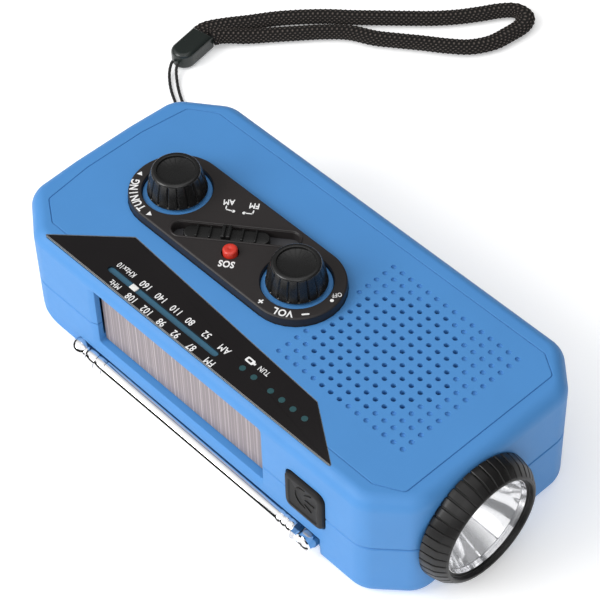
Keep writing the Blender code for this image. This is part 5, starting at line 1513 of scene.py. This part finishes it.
def build_sky(scene, strength):
    """Even light from above, dimmer behind, with a dark band that only reflections see."""
    world = bpy.data.worlds.new("studio")
    scene.world = world
    world.use_nodes = True
    nodes, links = world.node_tree.nodes, world.node_tree.links
    coords = nodes.new("ShaderNodeTexCoord")
    split = nodes.new("ShaderNodeSeparateXYZ")
    links.new(coords.outputs["Generated"], split.inputs[0])

    def fade(letter, *values):
        """The direction's part on one axis, mapped from one range to another."""
        node = nodes.new("ShaderNodeMapRange")
        for i, value in enumerate(values, 1):
            node.inputs[i].default_value = value
        links.new(split.outputs[letter], node.inputs[0])
        return node.outputs[0]

    def maths(operation, *values):
        node = nodes.new("ShaderNodeMath")
        node.operation = operation
        for socket, value in zip(node.inputs, values):
            if isinstance(value, bpy.types.NodeSocket):
                links.new(value, socket)
            else:
                socket.default_value = value
        return node.outputs[0]

    light = maths("MULTIPLY", fade("Z", 0.16, 0.30, 0.02, 1.0), fade("Y", 0.30, -0.30, 0.17, 1.0))
    rays = nodes.new("ShaderNodeLightPath")
    band = maths("MULTIPLY", fade("Z", *BAND), rays.outputs["Is Glossy Ray"])
    shown = maths("MULTIPLY", light, maths("SUBTRACT", 1.0, band))
    links.new(shown, nodes["Background"].inputs["Color"])
    nodes["Background"].inputs["Strength"].default_value = strength


def build_stage(settings):
    """Camera, pale floor and soft lights."""
    scene = bpy.context.scene
    camera = bpy.data.objects.new("view", bpy.data.cameras.new("view"))
    scene.collection.objects.link(camera)
    across = Vector((0.68591632, 0.72730631, -0.02333097))
    down = Vector((0.53289446, -0.52388461, -0.66450613))
    ahead = Vector((-0.49552224, 0.44336266, -0.74691851))
    turn = Matrix((across, -down, -ahead)).transposed()
    camera.matrix_world = Matrix.Translation(at(239.4, -210.8, 383.7)) @ turn.to_4x4()
    camera.data.lens = settings.lens
    camera.data.clip_start, camera.data.clip_end = 0.01, 20
    scene.camera = camera
    scene.view_settings.view_transform = "Standard"

    def sheet(shape):
        corners = [(x * 9000, y * 9000) for x, y in ((-1, -1), (1, -1), (1, 1), (-1, 1))]
        loft(shape, [[(x, y, z) for x, y in corners] for z in (-40, -0.05)])

    floor = drawn("floor", sheet)
    look = Look("floor_paper", (0.93, 0.93, 0.93), 0.9, emission_strength=0.30)
    look.set("Emission Color", (1, 1, 1, 1))
    look.tone(look.grain(400, 2), 0.01)
    floor.data.materials.append(look.material)

    build_sky(scene, settings.sky)
    for name, spot, size, power in (("key", (-250, -520, 420), 380, settings.key),
                                    ("fill", (420, -300, 500), 300, settings.fill),
                                    ("top", (-60, 160, 700), 420, settings.top)):
        lamp = bpy.data.lights.new(name, "AREA")
        lamp.shape = "SQUARE"
        lamp.size = size * MM
        lamp.energy = power
        holder = bpy.data.objects.new(name, lamp)
        scene.collection.objects.link(holder)
        place_at = at(*spot)
        holder.matrix_world = (Matrix.Translation(place_at)
                               @ (at(0, 0, 10) - place_at).to_track_quat("-Z", "Y").to_matrix().to_4x4())


# ---------------------------------------------------------------- add-on

class RadioColours(bpy.types.PropertyGroup):
    """Colours of the finishes that a buyer would choose between"""
    case_blue: bpy.props.FloatVectorProperty(name="Case", description="Colour of the case", subtype="COLOR",
                                             default=(0.070, 0.255, 0.585))
    panel: bpy.props.FloatVectorProperty(name="Panel", description="Colour of the control panel",
                                         subtype="COLOR", default=(0.022, 0.019, 0.019))
    button_red: bpy.props.FloatVectorProperty(name="Button", description="Colour of the SOS button",
                                              subtype="COLOR", default=(0.62, 0.035, 0.02))


class RadioStage(bpy.types.PropertyGroup):
    """Camera and lights"""
    lens: bpy.props.FloatProperty(name="Lens", description="Focal length of the camera", default=135.7,
                                  unit="CAMERA")
    sky: bpy.props.FloatProperty(name="Sky", description="Strength of the even light", default=1.2, min=0.0,
                                 subtype="FACTOR", soft_max=3.0)
    key: bpy.props.FloatProperty(name="Key", description="Power of the light on the solar side", default=2.6,
                                 unit="POWER")
    fill: bpy.props.FloatProperty(name="Fill", description="Power of the light on the torch side", default=0.25,
                                  unit="POWER")
    top: bpy.props.FloatProperty(name="Top", description="Power of the light overhead", default=0.5,
                                 unit="POWER")


def operator(name, label, text, work):
    """An operator that makes one group of pieces."""
    def execute(self, context):
        work(context.scene)
        return {"FINISHED"}
    return type("RADIO_OT_" + name, (bpy.types.Operator,), {
        "bl_idname": "radio." + name, "bl_label": label, "__doc__": text, "execute": execute})


def make_controls(scene):
    """The panel and everything on it."""
    build_panel()
    build_knob("tuning_cap", "tuning_knob", "tuning", TUNING)
    build_knob("volume_cap", "volume_knob", "volume", VOLUME)
    build_slider()
    build_buttons()
    lettered("panel_lettering", "radio", "pointer_white", panel_letters)

    def mark(shape):
        angle = math.radians(222)
        x, y = VOLUME[0] + 6.3 * math.cos(angle), VOLUME[1] + 6.3 * math.sin(angle)
        bmesh.ops.create_uvsphere(shape, u_segments=12, v_segments=8, radius=0.22,
                                  matrix=Matrix.Translation((x, y, PANEL_Z + 1.2)))

    place(drawn("volume_mark", mark), "volume", LOOKS["print"], slot="pointer_white")


def make_strap(scene):
    """The sleeve first, since the strap is joined to it."""
    build_sleeve()
    build_strap()
    build_strings()


OPERATORS = [operator(*row) for row in (
    ("stage", "Stage", "Make the camera, the floor and the lights", lambda s: build_stage(s.radio_stage)),
    ("looks", "Finishes", "Make the materials", lambda s: make_looks(s.radio_colours)),
    ("strap", "Wrist strap", "Make the strap, its sleeve and its strings", make_strap),
    ("front", "Front case", "Make the front half of the case", lambda s: build_front_case()),
    ("rear", "Rear case", "Make the rear half of the case", lambda s: build_rear_case()),
    ("controls", "Controls", "Make the panel, knobs, slider, buttons and marks", make_controls),
    ("dial", "Dial", "Make the tuning dial, its pointer and numbers", lambda s: build_dial()),
    ("solar", "Solar cell", "Make the solar cell", lambda s: build_solar()),
    ("torch", "Torch", "Make the torch", lambda s: build_torch()),
    ("antenna", "Antenna", "Make the telescopic antenna", lambda s: build_antenna()),
    ("crank", "Crank", "Make the crank and its knob", lambda s: build_crank()),
    ("cover", "Port cover", "Make the flap over the sockets", lambda s: build_cover()),
    ("screws", "Screws", "Make the case screws", lambda s: build_screws()),
    ("inside", "Inside", "Finish the solids inside the case", lambda s: dress_inside()),
)]


class RADIO_PT_panel(bpy.types.Panel):
    """Lists the radio's groups of pieces"""
    bl_label = "Emergency radio"
    bl_idname = "RADIO_PT_panel"
    bl_space_type = "VIEW_3D"
    bl_region_type = "UI"
    bl_category = "Radio"

    def draw(self, context):
        for group in (context.scene.radio_colours, context.scene.radio_stage):
            for key in group.__annotations__:
                self.layout.prop(group, key)
        for made in OPERATORS:
            self.layout.operator(made.bl_idname)


CLASSES = [RadioColours, RadioStage, *OPERATORS, RADIO_PT_panel]


def register():
    for made in CLASSES:
        bpy.utils.register_class(made)
    bpy.types.Scene.radio_colours = bpy.props.PointerProperty(type=RadioColours)
    bpy.types.Scene.radio_stage = bpy.props.PointerProperty(type=RadioStage)


def unregister():
    del bpy.types.Scene.radio_stage
    del bpy.types.Scene.radio_colours
    for made in reversed(CLASSES):
        bpy.utils.unregister_class(made)


def main():
    register()
    for made in OPERATORS:
        group, name = made.bl_idname.split(".")
        getattr(getattr(bpy.ops, group), name)()


if __name__ == "__main__":
    main()
